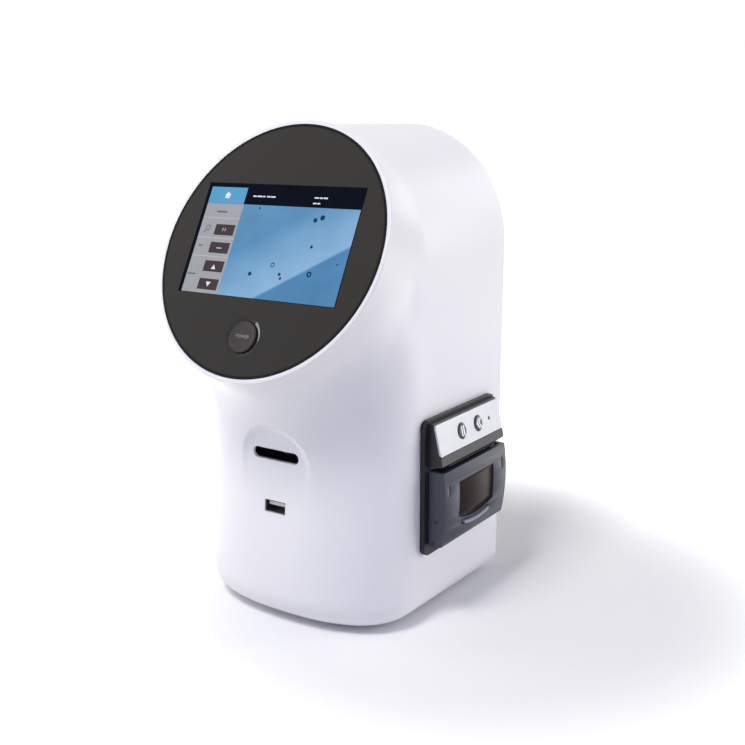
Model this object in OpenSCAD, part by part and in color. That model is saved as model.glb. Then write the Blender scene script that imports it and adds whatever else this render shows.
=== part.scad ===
/* [Column] */
// Width of the column across its flat sides
body_w = 141.5; // [138:0.5:146]
// Depth of the column at its foot
body_d = 142.7; // [139:0.1:148]
// Height of the top of the arch above the bench
body_h = 283; // [280:0.5:290]
// Thickness of the moulded walls
wall = 2.6; // [2.2:0.1:3]
// Flat length of the sides, from the crease to the back
side_flat = 97.8; // [96:0.1:102]
// Fullness of the curved front, where 2 is an ellipse
front_power = 2.36; // [2.2:0.02:2.5]
// Lean of the front towards the back
front_lean = 3.4; // [2.5:0.1:4.2]
// Lean of the back, which is deeper at the top
back_lean = 0.9; // [0:0.1:2]
// Radius round the foot of the column, halfway along its sides
foot_round = 14.5; // [12:0.5:16]
// How much larger that radius is at the front, and smaller at the back
foot_swing = 3; // [0:0.5:4]
// Radius along the back edges
back_round = 3; // [2:0.5:4]

/* [Head] */
// Radius of the round rim
rim_r = 75.9; // [75:0.1:77.5]
// Lean of the face from the vertical
face_tilt = 27.6; // [26:0.1:29]
// How far the chin stands out in front of the foot
chin_reach = 30.2; // [28:0.1:32]
// How far the rim rises over the arch
rim_rise = 2.5; // [1.5:0.1:3.5]
// Size of the hollow blend between the head and the column
neck_round = 43.5; // [38:0.5:46]

/* [Cover glass and display] */
// Radius of the glass disc
glass_r = 73.5; // [73:0.1:74]
// Thickness of the glass disc
glass_t = 2; // [1.6:0.1:2.4]
// Width of the ledge that the glass rests on
glass_ledge = 3; // [2.5:0.1:3.2]
// Width of the display module
display_w = 113; // [111:0.5:114]
// Height of the display module
display_h = 70; // [68:0.5:71]
// Thickness of the display module
display_t = 4.5; // [3.5:0.1:5.5]
// How far the display sits above the middle of the glass
display_rise = 4; // [3:0.1:4.5]

/* [Power button] */
// Radius of the power button
power_r = 8.8; // [8:0.1:9.4]
// How far the button sits below the middle of the glass
power_drop = 50.3; // [49.5:0.1:51]
// Travel of the power button
power_travel = 0.8; // [0.5:0.1:0.9]

/* [Front openings] */
// Height of the slide slot above the bench
slot_z = 101.2; // [100:0.1:102.4]
// Width of the slide slot
slot_w = 32.8; // [30:0.2:34]
// Height of the slide slot
slot_h = 6.6; // [5.6:0.1:7.4]
// Width of the shallow recess round the slot and the port
recess_w = 45; // [42:0.5:48]
// Depth of that recess at its top
recess_depth = 2.6; // [1.8:0.1:3]
// Height of the USB port above the bench
usb_z = 70.7; // [68:0.1:72]
// Width of the USB port's metal shell
usb_w = 14.5; // [14:0.1:15]
// Height of the USB port's metal shell
usb_h = 7.1; // [6.8:0.1:7.4]
// Length of the USB port's metal shell
usb_len = 14; // [12:0.5:15]

/* [Base] */
// Height of the rubber feet below the column
foot_h = 3; // [2:0.1:4]
// Radius of a rubber foot
foot_r = 8; // [7:0.5:9]
// Thickness of the base plate
base_t = 2.2; // [1.8:0.1:2.6]
// Thickness of the column's floor
floor_t = 5; // [4.5:0.1:6]
// Thickness of the rear cover
cover_t = 2; // [1.6:0.1:2.4]

/* [Optics] */
// Distance of the optical axis behind the front of the foot
axis_reach = 37.35; // [35.35:0.5:39.35]
// Radius of the objective's barrel
objective_r = 9; // [8:0.5:10]
// Radius of the condenser lens
lens_r = 7.8; // [7:0.1:8.5]
// Radius of the focus guide rods
rod_r = 2; // [1.8:0.1:2.4]
// Radius of the focus lead screw
screw_r = 2.5; // [2.2:0.1:2.8]
// Focus travel each way
focus_travel = 3; // [2:0.5:3]

/* [Label printer] */
// Width of the printer's front flange
flange_w = 81.4; // [80:0.2:83]
// Height of the printer's front flange
flange_h = 80; // [79:0.2:81.4]
// Thickness of the printer's front flange
flange_t = 3; // [2.6:0.1:3.2]
// Middle of the printer behind the column's middle
printer_y = 16.5; // [14:0.1:18]
// Middle of the printer above the bench
printer_z = 82; // [80:0.5:86]
// Width of the door and of the control panel
door_w = 73.3; // [72.6:0.1:74]
// How far the door bulges out of the column's side
door_bulge = 14.4; // [14:0.1:15]
// Thickness of the door's walls
door_t = 2.4; // [2:0.1:2.6]
// Radius of the platen roller
platen_r = 5.5; // [5:0.1:5.6]
// Radius of the paper roll
roll_r = 18; // [14:0.5:18]
// Width of the paper roll
paper_w = 57; // [50:0.5:57]
// Radius of the control buttons
key_r = 4.6; // [4:0.1:4.8]
// Travel of the control buttons
key_travel = 0.5; // [0.3:0.1:0.6]

/* [Gears] */
// Tooth size of the printer's gears, as pitch diameter over teeth
gear_module = 0.7; // [0.68:0.01:0.7]
// Width of the gears
gear_w = 3.5; // [2.5:0.1:3.6]

/* [Fits] */
// Gap round parts that move past one another
run_gap = 0.3; // [0.3:0.05:0.4]
// Gap round parts that are seated
seat_gap = 0.2; // [0.1:0.05:0.3]
// Radial clearance of shafts in their bores
shaft_gap = 0.05; // [0.02:0.01:0.08]
// Radius of the screws' core
screw_core = 1.2; // [1:0.05:1.3]
// Length of the screws that hold the covers
screw_len = 10; // [8:0.5:11]

/* [Hidden] */

// Smooth circles for the exact round parts
$fn = 48;
// Overlap that keeps cutting faces apart
eps = 0.01;

// Column
half_w = body_w / 2;
rear_y = body_d / 2;
front_y = -rear_y;
crease_y = rear_y - side_flat;
crease_rake = 0.03;
front_rake = tan(front_lean);
back_rake = tan(back_lean);
arch_z = body_h - half_w;
// The skin starts a little under the flat foot
foot_under = 0.3;

// Head
face_z = body_h + rim_rise - rim_r * cos(face_tilt);
face_y = front_y - chin_reach + rim_r * sin(face_tilt);
face_c = [0, face_y, face_z];
// Depth behind the face at which the head starts to curve in
rim_flat = 6.8;
head_swell = 0.119;
head_curve = 252;
// Growth of the neck blend with depth behind the face, and the depths over which it dies out
neck_growth = 1.35;
neck_from = 75;
neck_end = 140;
// The skin's sections run on past the back, which cuts them flat
back_spare = 14;

// Line where the face's plane meets the foot's plane: the skin's sections fan out from it
fan_y = face_y - (face_z - foot_h) * tan(face_tilt);
fan_end = 90 - face_tilt;
fan_mid = 38;
fan_far = 260;
fan_halvings = 20;

// Display group, in the frame of the face
display_back = -glass_t - display_t;
carrier_t = 2.2;
carrier_r = glass_r - glass_ledge - 0.7;
carrier_back = display_back - carrier_t - seat_gap;
carrier_screw_r = carrier_r - 4.3;
carrier_angles = [60, 120, 220, 320];
boss_len = 14;
boss_r = 4.5;
power_hole = power_r + run_gap + 0.1;
power_flange = power_r + 1.2;
switch_gap = 0.3;

// Room that the label printer's case takes
case_u = 36;
case_depth = 44;

// Base
base_w = 109;
base_front = crease_y - 20;
base_back = rear_y - 16;
base_corner = 16;
base_lip = 12.5;
base_screw_x = base_w / 2 - 6.3;
base_screw_y = [base_front + 24, base_back - 25.5];
foot_x = base_w / 2 - 14.5;
foot_y = [base_front + 12, base_back - 11];
foot_seat = 0.8;

// Rear cover
cover_r = half_w - 9;
ledge_w = 9.5;
ledge_t = 2.4;
cover_foot = 22;
cover_screw_x = cover_r - 4.7;
cover_rise = arch_z - foot_h;
cover_screws = [
    for (s = [-1, 1]) each [
        [s * cover_screw_x, cover_foot + 8],
        [s * cover_screw_x, cover_rise - 84],
        [s * cover_screw_x * cos(48), cover_rise + cover_screw_x * sin(48)]
    ]
];
board_w = 90;
board_t = 1.6;
board_low = printer_z + case_u - foot_h + 13;
board_high = cover_rise + 30.75;
board_h = board_high - board_low;
board_rise = (board_high + board_low) / 2;
post_len = 18;
inlet_at = [-32, 46];
inlet_r = 5.5;

// Front, with the floor of its recess
recess_top = slot_z + 16.5;
recess_fade = recess_top - foot_h - 22;
function recess_at(z) = recess_depth * max(1 - (recess_top - z) / recess_fade, 0);
function front_at(z) = front_y + front_rake * (z - foot_h) + recess_at(z);

// Front port
port_front = front_at(usb_z) + 0.1;
port_wall = 0.4;
port_board_w = 19;
port_board_d = 13;
shelf_h = 2.4;

// Optics
axis_y = front_y + axis_reach;
guide_w = slot_w + 6;
guide_h = slot_h + 4.6;
guide_front = front_at(slot_z) + wall + 0.6;
frame_y = axis_y + 40;
frame_t = 4;
frame_half = half_w - case_depth - 2.75;
frame_foot_w = 64;
frame_top = slot_z + 38;
frame_foot_t = 4;
frame_front = base_front + base_lip + 1;
frame_foot_z = foot_h + base_t;
stage_z = frame_foot_z + frame_foot_t;
rod_x = 15;
rod_side = rod_x + rod_r + 2.5;
rod_y = frame_y - 12;
shelf_top = slot_z - guide_h / 2 - 2.5;
shelf_t = 4;
motor_w = 20;
motor_h = 18;
carriage_z = stage_z + motor_h + 30;
carriage_t = 12;
camera_w = 26;
camera_h = 20;
lamp_gap = 6;
lamp_z = slot_z + guide_h / 2 + lamp_gap;
lamp_h = 14;

// Printer: u runs to the back, v up and d out of the column's side
opening_u = 33.7;
opening_low = -28;
opening_high = 13.5;
case_wall = 2;
door_r = 120;
door_mid = -8;
door_low = -33.5;
door_top = 10.5;
door_inset = flange_t + run_gap + 0.1;
hinge_d = 6.5;
hinge_v = -32;
hinge_r = 1.2;
hinge_ear = 3.1;
panel_tilt = 12.8;
panel_d = 9.25;
panel_v = 28.9;
panel_h = 18.5;
panel_t = 1.2;
panel_skin = 2;
key_u = [-9.9, 9.2];
lamp_u = 22.9;
lamp_r = 1.1;
hood_low = 13.9;
hood_top = 38.4;
platen_d = 4.2;
platen_v = 3.5;
shaft_r = 1.5;
platen_u = 26;
arm_u = 27.2;
arm_t = 2;
gear_u = arm_u + arm_t + run_gap;
platen_teeth = 20;
drive_teeth = 28;
pinion_teeth = 12;
gear_play = 0.1;
platen_tip = gear_module * (platen_teeth / 2 + 1);
drive_angle = 152.6;
pinion_angle = 130;
bay_u = 27.4;
bay_t = 1.5;
head_t = 3;
roll_d = -22;
roll_v = -15;
window_u = 20.5;
window_low = -23;
window_top = 2;
window_r = 60;
latch_d = 8.5;
latch_v = -19;
latch_u = 30.5;
latch_t = 2;
lip_u = 14.5;
catch_d = 1.5;
catch_v = -9;
catch_r = 1.2;

/* Distances from the skin of the housing: negative inside, positive outside */

// Two surfaces that meet at a rounded edge
function corner(a, b, r) =
    min(max(a + r, b + r), 0) + norm([max(a + r, 0), max(b + r, 0)]) - r;

// Two bodies that run into one another with a hollow blend
function soft_join(a, b, k) =
    let (h = max(k - abs(a - b), 0) / k)
    min(a, b) - h * h * k / 4;

// Column: flat sides under a round arch, a curved front and a rounded foot
function column_gap(p, inset) =
    let (
        z = p.z - foot_h + foot_under,
        up = p.z - arch_z,
        w = half_w - inset,
        crease = crease_y + crease_rake * z,
        b = crease - front_y - front_rake * z - inset,
        r = (up < 0 ? abs(p.x) : norm([p.x, up])) / w,
        t = max(crease - p.y, 0) / b,
        q = max(pow(pow(r, front_power) + pow(t, front_power), 1 / front_power), 0.01),
        slope = norm([pow(r / q, front_power - 1) / w, pow(t / q, front_power - 1) / b]),
        foot = foot_round - foot_swing * p.y / rear_y - inset,
        side = corner((q - 1) / slope, inset - z, max(foot, 1))
    )
    max(side, p.y - rear_y - back_spare);

// Depth of a point behind the face
function face_depth(p) = (face_c - p) * [0, -cos(face_tilt), sin(face_tilt)];

// Head: a drum behind the face that swells a little and then draws in
function head_gap(p, inset) =
    let (
        s = face_depth(p),
        q = p - face_c,
        d = max(s - rim_flat, 0)
    )
    (sqrt(max(q * q - s * s, 0)) - (rim_r - inset + head_swell * d - d * d / head_curve))
        / norm([1, head_swell - 2 * d / head_curve]);

function skin_gap(p, inset) =
    let (
        s = face_depth(p),
        fade = neck_round * (neck_end - s) / (neck_end - neck_from),
        k = max(min(neck_growth * s, neck_round, fade), 0.2)
    )
    soft_join(column_gap(p, inset), head_gap(p, inset), k);

/* Sections of the skin, in planes that fan from the foot's plane to the face's plane */

function fan_centre(a) =
    let (
        t = max(min((a - fan_mid) / (fan_end - fan_mid), 1), 0),
        y = face_y * t
    )
    [0, y, foot_h + (y - fan_y) * tan(a)];

// Distance along a ray at which it leaves the skin, by halving
function ray_end(c, d, inset, near, far, n) =
    n == 0 ? near :
    let (m = (near + far) / 2)
    skin_gap(c + d * m, inset) < 0
        ? ray_end(c, d, inset, m, far, n - 1)
        : ray_end(c, d, inset, near, m, n - 1);

function fan_loop(a, n, inset) =
    let (c = fan_centre(a))
    [for (k = [0 : n - 1])
        let (
            t = 360 * k / n - 90,
            d = [cos(t), sin(t) * cos(a), sin(t) * sin(a)]
        )
        c + d * ray_end(c, d, inset, 0, fan_far, fan_halvings)];

// Angles that step through stretches of [from, to, count]
function steps(stretches) =
    [for (s = stretches, k = [0 : s[2] - 1]) s[0] + (s[1] - s[0]) * k / s[2]];

module fan_solid(angles, n, inset) {
    m = len(angles);
    points = [for (a = angles) each fan_loop(a, n, inset)];
    sides = [for (j = [0 : m - 2], k = [0 : n - 1])
        let (a = j * n + k, b = j * n + (k + 1) % n)
        each [[a, a + n, b], [b, a + n, b + n]]];
    foot = [for (k = [0 : n - 1]) k];
    face = [for (k = [n - 1 : -1 : 0]) (m - 1) * n + k];
    polyhedron(points, concat([foot], sides, [face]), convexity = 6);
}

/* Frames of reference */

// Face: z out of the glass, y up it
module on_face() translate(face_c) rotate([90 - face_tilt, 0, 0]) children();

// Back: z out of the back, y up it, from the foot
module on_back() translate([0, rear_y, foot_h]) rotate([90 + back_lean, 0, 180]) children();

// Printer: x to the back, y up, z out of the side
module on_side() translate([half_w, printer_y, printer_z]) rotate([90, 0, 90]) children();

// Control panel: z out of it, y up its slope
module on_panel() on_side() translate([0, panel_v, panel_d]) rotate([-panel_tilt, 0, 0]) children();

// Side profile with x out and y up, drawn across the printer's width
module across(w) rotate([0, 90, 0]) linear_extrude(w, center = true) mirror([1, 0]) children();

/* Shapes that repeat */

module round_rect(w, h, r) {
    square([w - 2 * r, h], center = true);
    square([w, h - 2 * r], center = true);
    for (x = [-1, 1], y = [-1, 1]) translate([x * (w / 2 - r), y * (h / 2 - r)]) circle(r);
}

module stadium(w, h) {
    square([w - h, h], center = true);
    for (s = [-1, 1]) translate([s * (w - h) / 2, 0]) circle(d = h);
}

// Countersunk screw that points down from its head's face at z = 0
module flat_screw(length) {
    rotate_extrude() polygon([
        [0, 0], [2.9, 0], [2.9, -0.2], [screw_core, -1.9], [screw_core, -length], [0, -length]
    ]);
}

// Pan-head screw whose head stands on z = 0
module pan_screw(length) {
    rotate_extrude() polygon([
        [0, 1.7], [2, 1.7], [2.7, 1], [2.7, 0], [screw_core, 0], [screw_core, -length], [0, -length]
    ]);
}

module sink_hole(depth) {
    translate([0, 0, -depth]) cylinder(r = screw_core + 0.5, h = depth + 1);
    translate([0, 0, -1.9]) cylinder(r1 = screw_core + 0.4, r2 = 3.2, h = 1.9 + eps);
}

// One side and the other of a tooth, as shares of the tooth spacing and radii
function tooth_half(root, pitch, tip) =
    [[-0.3, root], [-0.22, pitch], [-0.1, tip], [0.1, tip], [0.22, pitch], [0.3, root]];

// Straight-sided gear with play at the flanks and the roots
module gear(teeth, bore) {
    pitch = gear_module * teeth / 2;
    tip = pitch + gear_module;
    root = pitch - 1.25 * gear_module;
    step = 360 / teeth;
    difference() {
        linear_extrude(gear_w, center = true) polygon([
            for (k = [0 : teeth - 1]) each [
                for (q = tooth_half(root, pitch, tip))
                    q[1] * [cos((k + q[0]) * step), sin((k + q[0]) * step)]
            ]
        ]);
        cylinder(r = bore, h = gear_w + 1, center = true);
    }
}

/* Housing */

module base_outline(grow) {
    translate([0, (base_front + base_back) / 2])
        round_rect(base_w + 2 * grow, base_back - base_front + 2 * grow, base_corner + grow);
}

module cover_outline(grow) {
    r = cover_r + grow;
    translate([0, cover_rise]) circle(r, $fn = 96);
    translate([-r, cover_foot - grow]) square([2 * r, cover_rise - cover_foot + grow]);
}

// Shallow recess in the front, which fades out towards the foot
module front_recess(grow) {
    r = recess_w / 2 + grow;
    lean = front_lean + atan(recess_depth / recess_fade);
    translate([0, front_at(recess_top), recess_top]) rotate([90 - lean, 0, 0])
        translate([0, 0, -grow]) linear_extrude(30) {
            translate([0, -recess_w / 2]) circle(r, $fn = 64);
            translate([-r, -r - recess_fade]) square([2 * r, recess_fade]);
        }
}

module slot_cut(grow) {
    translate([0, front_y + 24, slot_z]) rotate([90, 0, 0])
        linear_extrude(40) stadium(slot_w + 2 * grow, slot_h + 2 * grow);
}

module base_bosses(r, low, high) {
    for (x = [-1, 1], y = base_screw_y)
        translate([x * base_screw_x, y, foot_h + low]) cylinder(r = r, h = high - low);
}

module cover_bosses(r, low, high) {
    on_back() for (p = cover_screws) translate([p.x, p.y, -high]) cylinder(r = r, h = high - low);
}

module carrier_bosses(r, low, high) {
    on_face() for (a = carrier_angles)
        rotate([0, 0, a]) translate([carrier_screw_r, 0, carrier_back - high])
            cylinder(r = r, h = high - low);
}

module carrier_ribs() {
    on_face() for (a = carrier_angles)
        rotate([0, 0, a]) translate([carrier_screw_r, -2, carrier_back - boss_len])
            cube([14, 4, boss_len]);
}

// Profile of the back edge: x out from the middle, y out of the back
module back_profile() {
    r = back_round;
    polygon(concat(
        [[0, -300], [0, 0]],
        [for (a = [0 : 15 : 90]) [half_w - r * (1 - sin(a)) + a / 300, -r * (1 - cos(a))]],
        [[half_w + 1, -r - 4], [half_w + 60, -r - 60], [half_w + 60, -300]]
    ));
}

// Everything in front of the back face and its rounded edge
module back_limit() {
    on_back() {
        translate([0, cover_rise]) rotate_extrude($fn = 96) back_profile();
        translate([0, cover_rise]) rotate([90, 0, 0]) linear_extrude(cover_rise + 20)
            for (m = [0, 1]) mirror([m, 0]) back_profile();
    }
}

module rear_ledge() {
    on_back() translate([0, 0, -cover_t - ledge_t]) linear_extrude(ledge_t + eps) difference() {
        cover_outline(1.5);
        cover_outline(-ledge_w);
    }
}

module housing_shell() {
    outer = concat(steps([
        [0.05, 7, 5], [7, fan_mid, 8], [fan_mid, 50, 10], [50, 61, 10], [61, fan_end, 2]
    ]), [fan_end]);
    inner = concat(steps([
        [1.6, 7, 3], [7, fan_mid, 5], [fan_mid, 50, 6], [50, fan_end - 1.2, 7]
    ]), [fan_end - 1.2]);
    difference() {
        intersection() {
            fan_solid(outer, 80, 0);
            back_limit();
        }
        // Hollow, less what stands in it
        difference() {
            fan_solid(inner, 48, wall);
            on_back() translate([-100, -30, -wall]) cube([200, 330, 40]);
            translate([-100, -150, foot_h]) cube([200, 300, floor_t]);
            rear_ledge();
            base_bosses(boss_r, floor_t - 1, floor_t + 8);
            cover_bosses(boss_r, cover_t, cover_t + boss_len);
            carrier_bosses(boss_r, 0, boss_len);
            carrier_ribs();
            usb_shelf();
            front_recess(wall);
        }
    }
}

// Shelf under the port's board, with the column's front wall at its end
module usb_shelf() {
    translate([-port_board_w / 2, port_front, usb_z - usb_h / 2 - seat_gap - board_t - shelf_h])
        cube([port_board_w, port_board_d + wall + 1, shelf_h]);
}

module main_housing() {
    color("white") difference() {
        housing_shell();
        translate([-100, -150, foot_h - 10]) cube([200, 300, 10]);
        translate([0, 0, foot_h - 1]) linear_extrude(1 + base_t) base_outline(0);
        translate([0, 0, foot_h]) linear_extrude(floor_t + 1) base_outline(-base_lip);
        on_back() translate([0, 0, -cover_t]) linear_extrude(20) cover_outline(0);
        on_back() translate([0, 0, -10]) linear_extrude(20) cover_outline(-ledge_w);
        on_face() translate([0, 0, -10]) cylinder(r = glass_r - glass_ledge, h = 20, $fn = 96);
        on_face() translate([0, 0, -glass_t]) cylinder(r = glass_r + seat_gap, h = 20, $fn = 96);
        front_recess(0);
        slot_cut(0);
        translate([-usb_w / 2 - seat_gap, front_y - 20, usb_z - usb_h / 2 - seat_gap])
            cube([usb_w + 2 * seat_gap, 20 + wall + 12, usb_h + 2 * seat_gap]);
        on_side() translate([-case_u - run_gap, -case_u - run_gap, -12])
            cube([2 * (case_u + run_gap), 2 * (case_u + run_gap), 24]);
        // Flat seat for the printer's flange, where the neck starts to swell
        on_side() linear_extrude(10) round_rect(flange_w + 2 * seat_gap, flange_h + 2 * seat_gap, 5);
        base_bosses(screw_core + shaft_gap, 0, floor_t + 7);
        cover_bosses(screw_core + shaft_gap, 0, cover_t + 10);
        carrier_bosses(screw_core + shaft_gap, -1, 10);
    }
}

module rear_cover() {
    posts = [for (x = [-1, 1], y = [-1, 1]) [x * (board_w / 2 - 5), board_rise + y * (board_h / 2 - 5)]];
    color("white") on_back() difference() {
        union() {
            translate([0, 0, -cover_t]) linear_extrude(cover_t) cover_outline(-seat_gap);
            for (p = posts) translate([p.x, p.y, -cover_t - post_len]) cylinder(r = 3.5, h = post_len + 1);
        }
        for (p = cover_screws) translate([p.x, p.y, 0]) sink_hole(cover_t + 1);
        for (p = posts) translate([p.x, p.y, -cover_t - post_len - 1])
            cylinder(r = screw_core + shaft_gap, h = 11);
        for (k = [0 : 6], s = [-1, 1])
            translate([s * 17, 78 + 7 * k, -cover_t - 1]) linear_extrude(cover_t + 2) stadium(26, 2.6);
        translate([inlet_at.x, inlet_at.y, -cover_t - 1]) cylinder(r = inlet_r + seat_gap, h = cover_t + 2);
    }
}

module base_plate() {
    color("gainsboro") difference() {
        translate([0, 0, foot_h]) linear_extrude(base_t) base_outline(-seat_gap);
        for (x = [-1, 1], y = base_screw_y)
            translate([x * base_screw_x, y, foot_h]) rotate([180, 0, 0]) sink_hole(base_t + 1);
        for (x = [-1, 1], y = foot_y)
            translate([x * foot_x, y, foot_h - 1]) cylinder(r = foot_r + seat_gap, h = 1 + foot_seat);
    }
}

module rubber_feet() {
    color("dimgray") for (x = [-1, 1], y = foot_y)
        translate([x * foot_x, y, 0]) rotate_extrude()
            polygon([[0, 0], [foot_r - 1.2, 0], [foot_r - 0.4, 0.4], [foot_r, 1.2],
                [foot_r, foot_h + foot_seat], [0, foot_h + foot_seat]]);
}

module base_screws() {
    color("silver") for (x = [-1, 1], y = base_screw_y)
        translate([x * base_screw_x, y, foot_h + 0.1]) rotate([180, 0, 0]) flat_screw(screw_len);
}

module rear_screws() {
    color("silver") on_back() for (p = cover_screws) translate([p.x, p.y, -0.1]) flat_screw(screw_len);
}

/* Face */

module cover_glass() {
    color("#2f2f30") on_face() difference() {
        translate([0, 0, -glass_t]) cylinder(r = glass_r, h = glass_t, $fn = 96);
        translate([0, -power_drop, -glass_t - 1]) cylinder(r = power_hole, h = glass_t + 2);
        translate([0, -power_drop, -0.7]) cylinder(r1 = power_hole, r2 = power_hole + 2.2, h = 0.7 + eps);
    }
}

module display_module() {
    color("#5b87b5") on_face() translate([0, display_rise, display_back]) {
        linear_extrude(display_t) round_rect(display_w, display_h, 1.5);
        translate([0, -display_h / 2 + 20, -2]) linear_extrude(2 + eps) square([60, 16], center = true);
    }
}

module display_carrier() {
    color("dimgray") on_face() difference() {
        translate([0, 0, carrier_back]) cylinder(r = carrier_r, h = -glass_t - carrier_back, $fn = 96);
        translate([0, display_rise, display_back - seat_gap]) linear_extrude(20)
            round_rect(display_w + 2 * seat_gap, display_h + 2 * seat_gap, 1);
        translate([0, display_rise, carrier_back - 1]) linear_extrude(20)
            round_rect(display_w - 26, display_h - 20, 4);
        translate([0, -power_drop, display_back - seat_gap]) cylinder(r = power_flange + 1, h = 20);
        translate([0, -power_drop, carrier_back - 1]) cylinder(r = 2.6, h = 20);
        for (a = carrier_angles) rotate([0, 0, a]) translate([carrier_screw_r, 0, carrier_back - 1]) {
            cylinder(r = screw_core + 0.4, h = 20);
            translate([0, 0, 1 + carrier_t]) cylinder(r = 3.2, h = 20);
        }
    }
}

module carrier_screws() {
    color("silver") on_face() for (a = carrier_angles)
        rotate([0, 0, a]) translate([carrier_screw_r, 0, carrier_back + carrier_t]) pan_screw(9);
}

module power_button() {
    top = 0.4;
    flange_z = -glass_t - run_gap;
    color("#3a3a3c") on_face() translate([0, -power_drop, 0]) rotate_extrude() polygon([
        [0, top - 0.3], [power_r - 2.5, top - 0.2], [power_r - 0.6, top], [power_r, top - 0.5],
        [power_r, flange_z], [power_flange, flange_z], [power_flange, flange_z - 1.2],
        [2, flange_z - 1.2], [2, carrier_back + 0.4], [0, carrier_back + 0.4]
    ]);
}

// Small board behind the carrier, with the switch that the button presses
module switch_board() {
    plunger = carrier_back + 0.4 - power_travel - switch_gap;
    back = carrier_back - 3;
    color("darkgreen") on_face() translate([0, -power_drop, 0]) {
        translate([0, 0, back - board_t]) linear_extrude(board_t) square([24, 14], center = true);
        translate([-3, -3, back - eps]) cube([6, 6, 1.6]);
        translate([0, 0, back]) cylinder(r = 1.6, h = plunger - back);
        for (s = [-1, 1]) translate([s * 9, 0, back - eps]) cylinder(r = 2, h = 3 + eps);
    }
}

/* Front port */

module usb_shell() {
    color("silver") translate([0, port_front, usb_z]) rotate([-90, 0, 0]) difference() {
        linear_extrude(usb_len) round_rect(usb_w, usb_h, 0.8);
        translate([0, 0, -1]) linear_extrude(usb_len)
            round_rect(usb_w - 2 * port_wall, usb_h - 2 * port_wall, 0.3);
    }
}

module usb_tongue() {
    w = usb_w - 2 * port_wall - 0.2;
    h = usb_h - 2 * port_wall - 0.2;
    color("white") translate([0, port_front + usb_len - 1, usb_z]) {
        translate([-w / 2, -3, -h / 2]) cube([w, 3, h]);
        translate([-w / 2 + 1.2, -11.6, h / 2 - 2.6]) cube([w - 2.4, 9, 1.9]);
    }
}

module usb_board() {
    color("darkgreen") translate([-port_board_w / 2, port_front + wall + 0.6, usb_z - usb_h / 2 - board_t])
        cube([port_board_w, port_board_d, board_t]);
}

/* Optics */

// Tray behind the slot, open above and below where the light passes
module slide_guide() {
    depth = frame_y - guide_front;
    color("#404040") difference() {
        translate([-guide_w / 2, guide_front, slot_z - guide_h / 2]) cube([guide_w, depth, guide_h]);
        translate([0, frame_y - 12, slot_z]) rotate([90, 0, 0]) linear_extrude(depth)
            stadium(slot_w + 0.6, slot_h + 0.6);
        translate([-11, axis_y - 16, slot_z - guide_h]) cube([22, 32, 2 * guide_h]);
    }
}

module optics_frame() {
    color("lightgray") difference() {
        union() {
            translate([-frame_foot_w / 2, frame_front, frame_foot_z])
                cube([frame_foot_w, frame_y + frame_t + 8 - frame_front, frame_foot_t]);
            translate([-frame_half, frame_y, frame_foot_z])
                cube([2 * frame_half, frame_t, frame_top - frame_foot_z]);
            translate([-rod_side, rod_y - 6, shelf_top - shelf_t])
                cube([2 * rod_side, frame_y - rod_y + 6 + eps, shelf_t]);
        }
        for (s = [-1, 1]) translate([s * rod_x, rod_y, shelf_top - shelf_t - 1])
            cylinder(r = rod_r + shaft_gap, h = shelf_t + 2);
        translate([0, rod_y, shelf_top - shelf_t - 1]) cylinder(r = screw_r + shaft_gap, h = shelf_t + 2);
        for (z = [34, 64]) translate([0, frame_y - 1, frame_foot_z + z]) rotate([-90, 0, 0])
            linear_extrude(frame_t + 2) stadium(frame_half + 2, 14);
    }
}

module lamp_housing() {
    color("#404040") difference() {
        translate([-14, axis_y - 14, lamp_z]) cube([28, frame_y - axis_y + 14, lamp_h]);
        translate([0, axis_y, lamp_z - 1]) cylinder(r = lens_r + shaft_gap, h = lamp_h + 2);
        translate([0, axis_y, lamp_z + lamp_h - 3]) cylinder(r = lens_r + 1.5, h = 4);
    }
}

module condenser_lens() {
    r = lens_r * 1.7;
    drop = r - sqrt(r * r - lens_r * lens_r);
    color("lightblue") translate([0, axis_y, lamp_z + 1]) intersection() {
        cylinder(r = lens_r, h = 2 + drop);
        translate([0, 0, 2 + drop - r]) sphere(r, $fn = 96);
    }
}

module lamp_board() {
    z = lamp_z + lamp_h;
    color("darkgreen") translate([0, axis_y, z]) {
        translate([-13, -13, 0]) cube([26, 26, board_t]);
        rotate([180, 0, 0]) rotate_extrude()
            polygon([[0, 0], [3, 0], [3, 1.2], [2.4, 1.2], [2.2, 2.6], [1.3, 3.6], [0, 4]]);
        translate([6, -5, board_t - eps]) cube([5, 10, 4]);
    }
}

module objective() {
    low = carriage_z + carriage_t;
    top = slot_z - guide_h / 2 - 0.8 - focus_travel;
    color("#2b2b2b") translate([0, axis_y, 0]) difference() {
        rotate_extrude() polygon([
            [0, low - 8], [objective_r - 3, low - 8], [objective_r - 3, low],
            [objective_r, low], [objective_r, low + 3],
            [objective_r - 0.6, low + 3.4], [objective_r - 0.6, low + 4.6], [objective_r, low + 5],
            [objective_r, top - 6], [objective_r - 4.5, top], [0, top]
        ]);
        translate([0, 0, low - 9]) cylinder(r = objective_r - 5.5, h = top - low + 12);
    }
}

module focus_carriage() {
    color("silver") difference() {
        union() {
            translate([-rod_side, rod_y - 6, carriage_z]) cube([2 * rod_side, 11, carriage_t]);
            translate([-camera_w / 2, axis_y - camera_w / 2, carriage_z])
                cube([camera_w, rod_y - axis_y + 8, carriage_t]);
        }
        for (s = [-1, 1]) translate([s * rod_x, rod_y, carriage_z - 1])
            cylinder(r = rod_r + shaft_gap, h = carriage_t + 2);
        translate([0, rod_y, carriage_z - 1]) cylinder(r = screw_r + shaft_gap, h = carriage_t + 2);
        translate([0, axis_y, carriage_z - 1]) cylinder(r = objective_r - 3 + shaft_gap, h = carriage_t + 2);
    }
}

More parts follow.
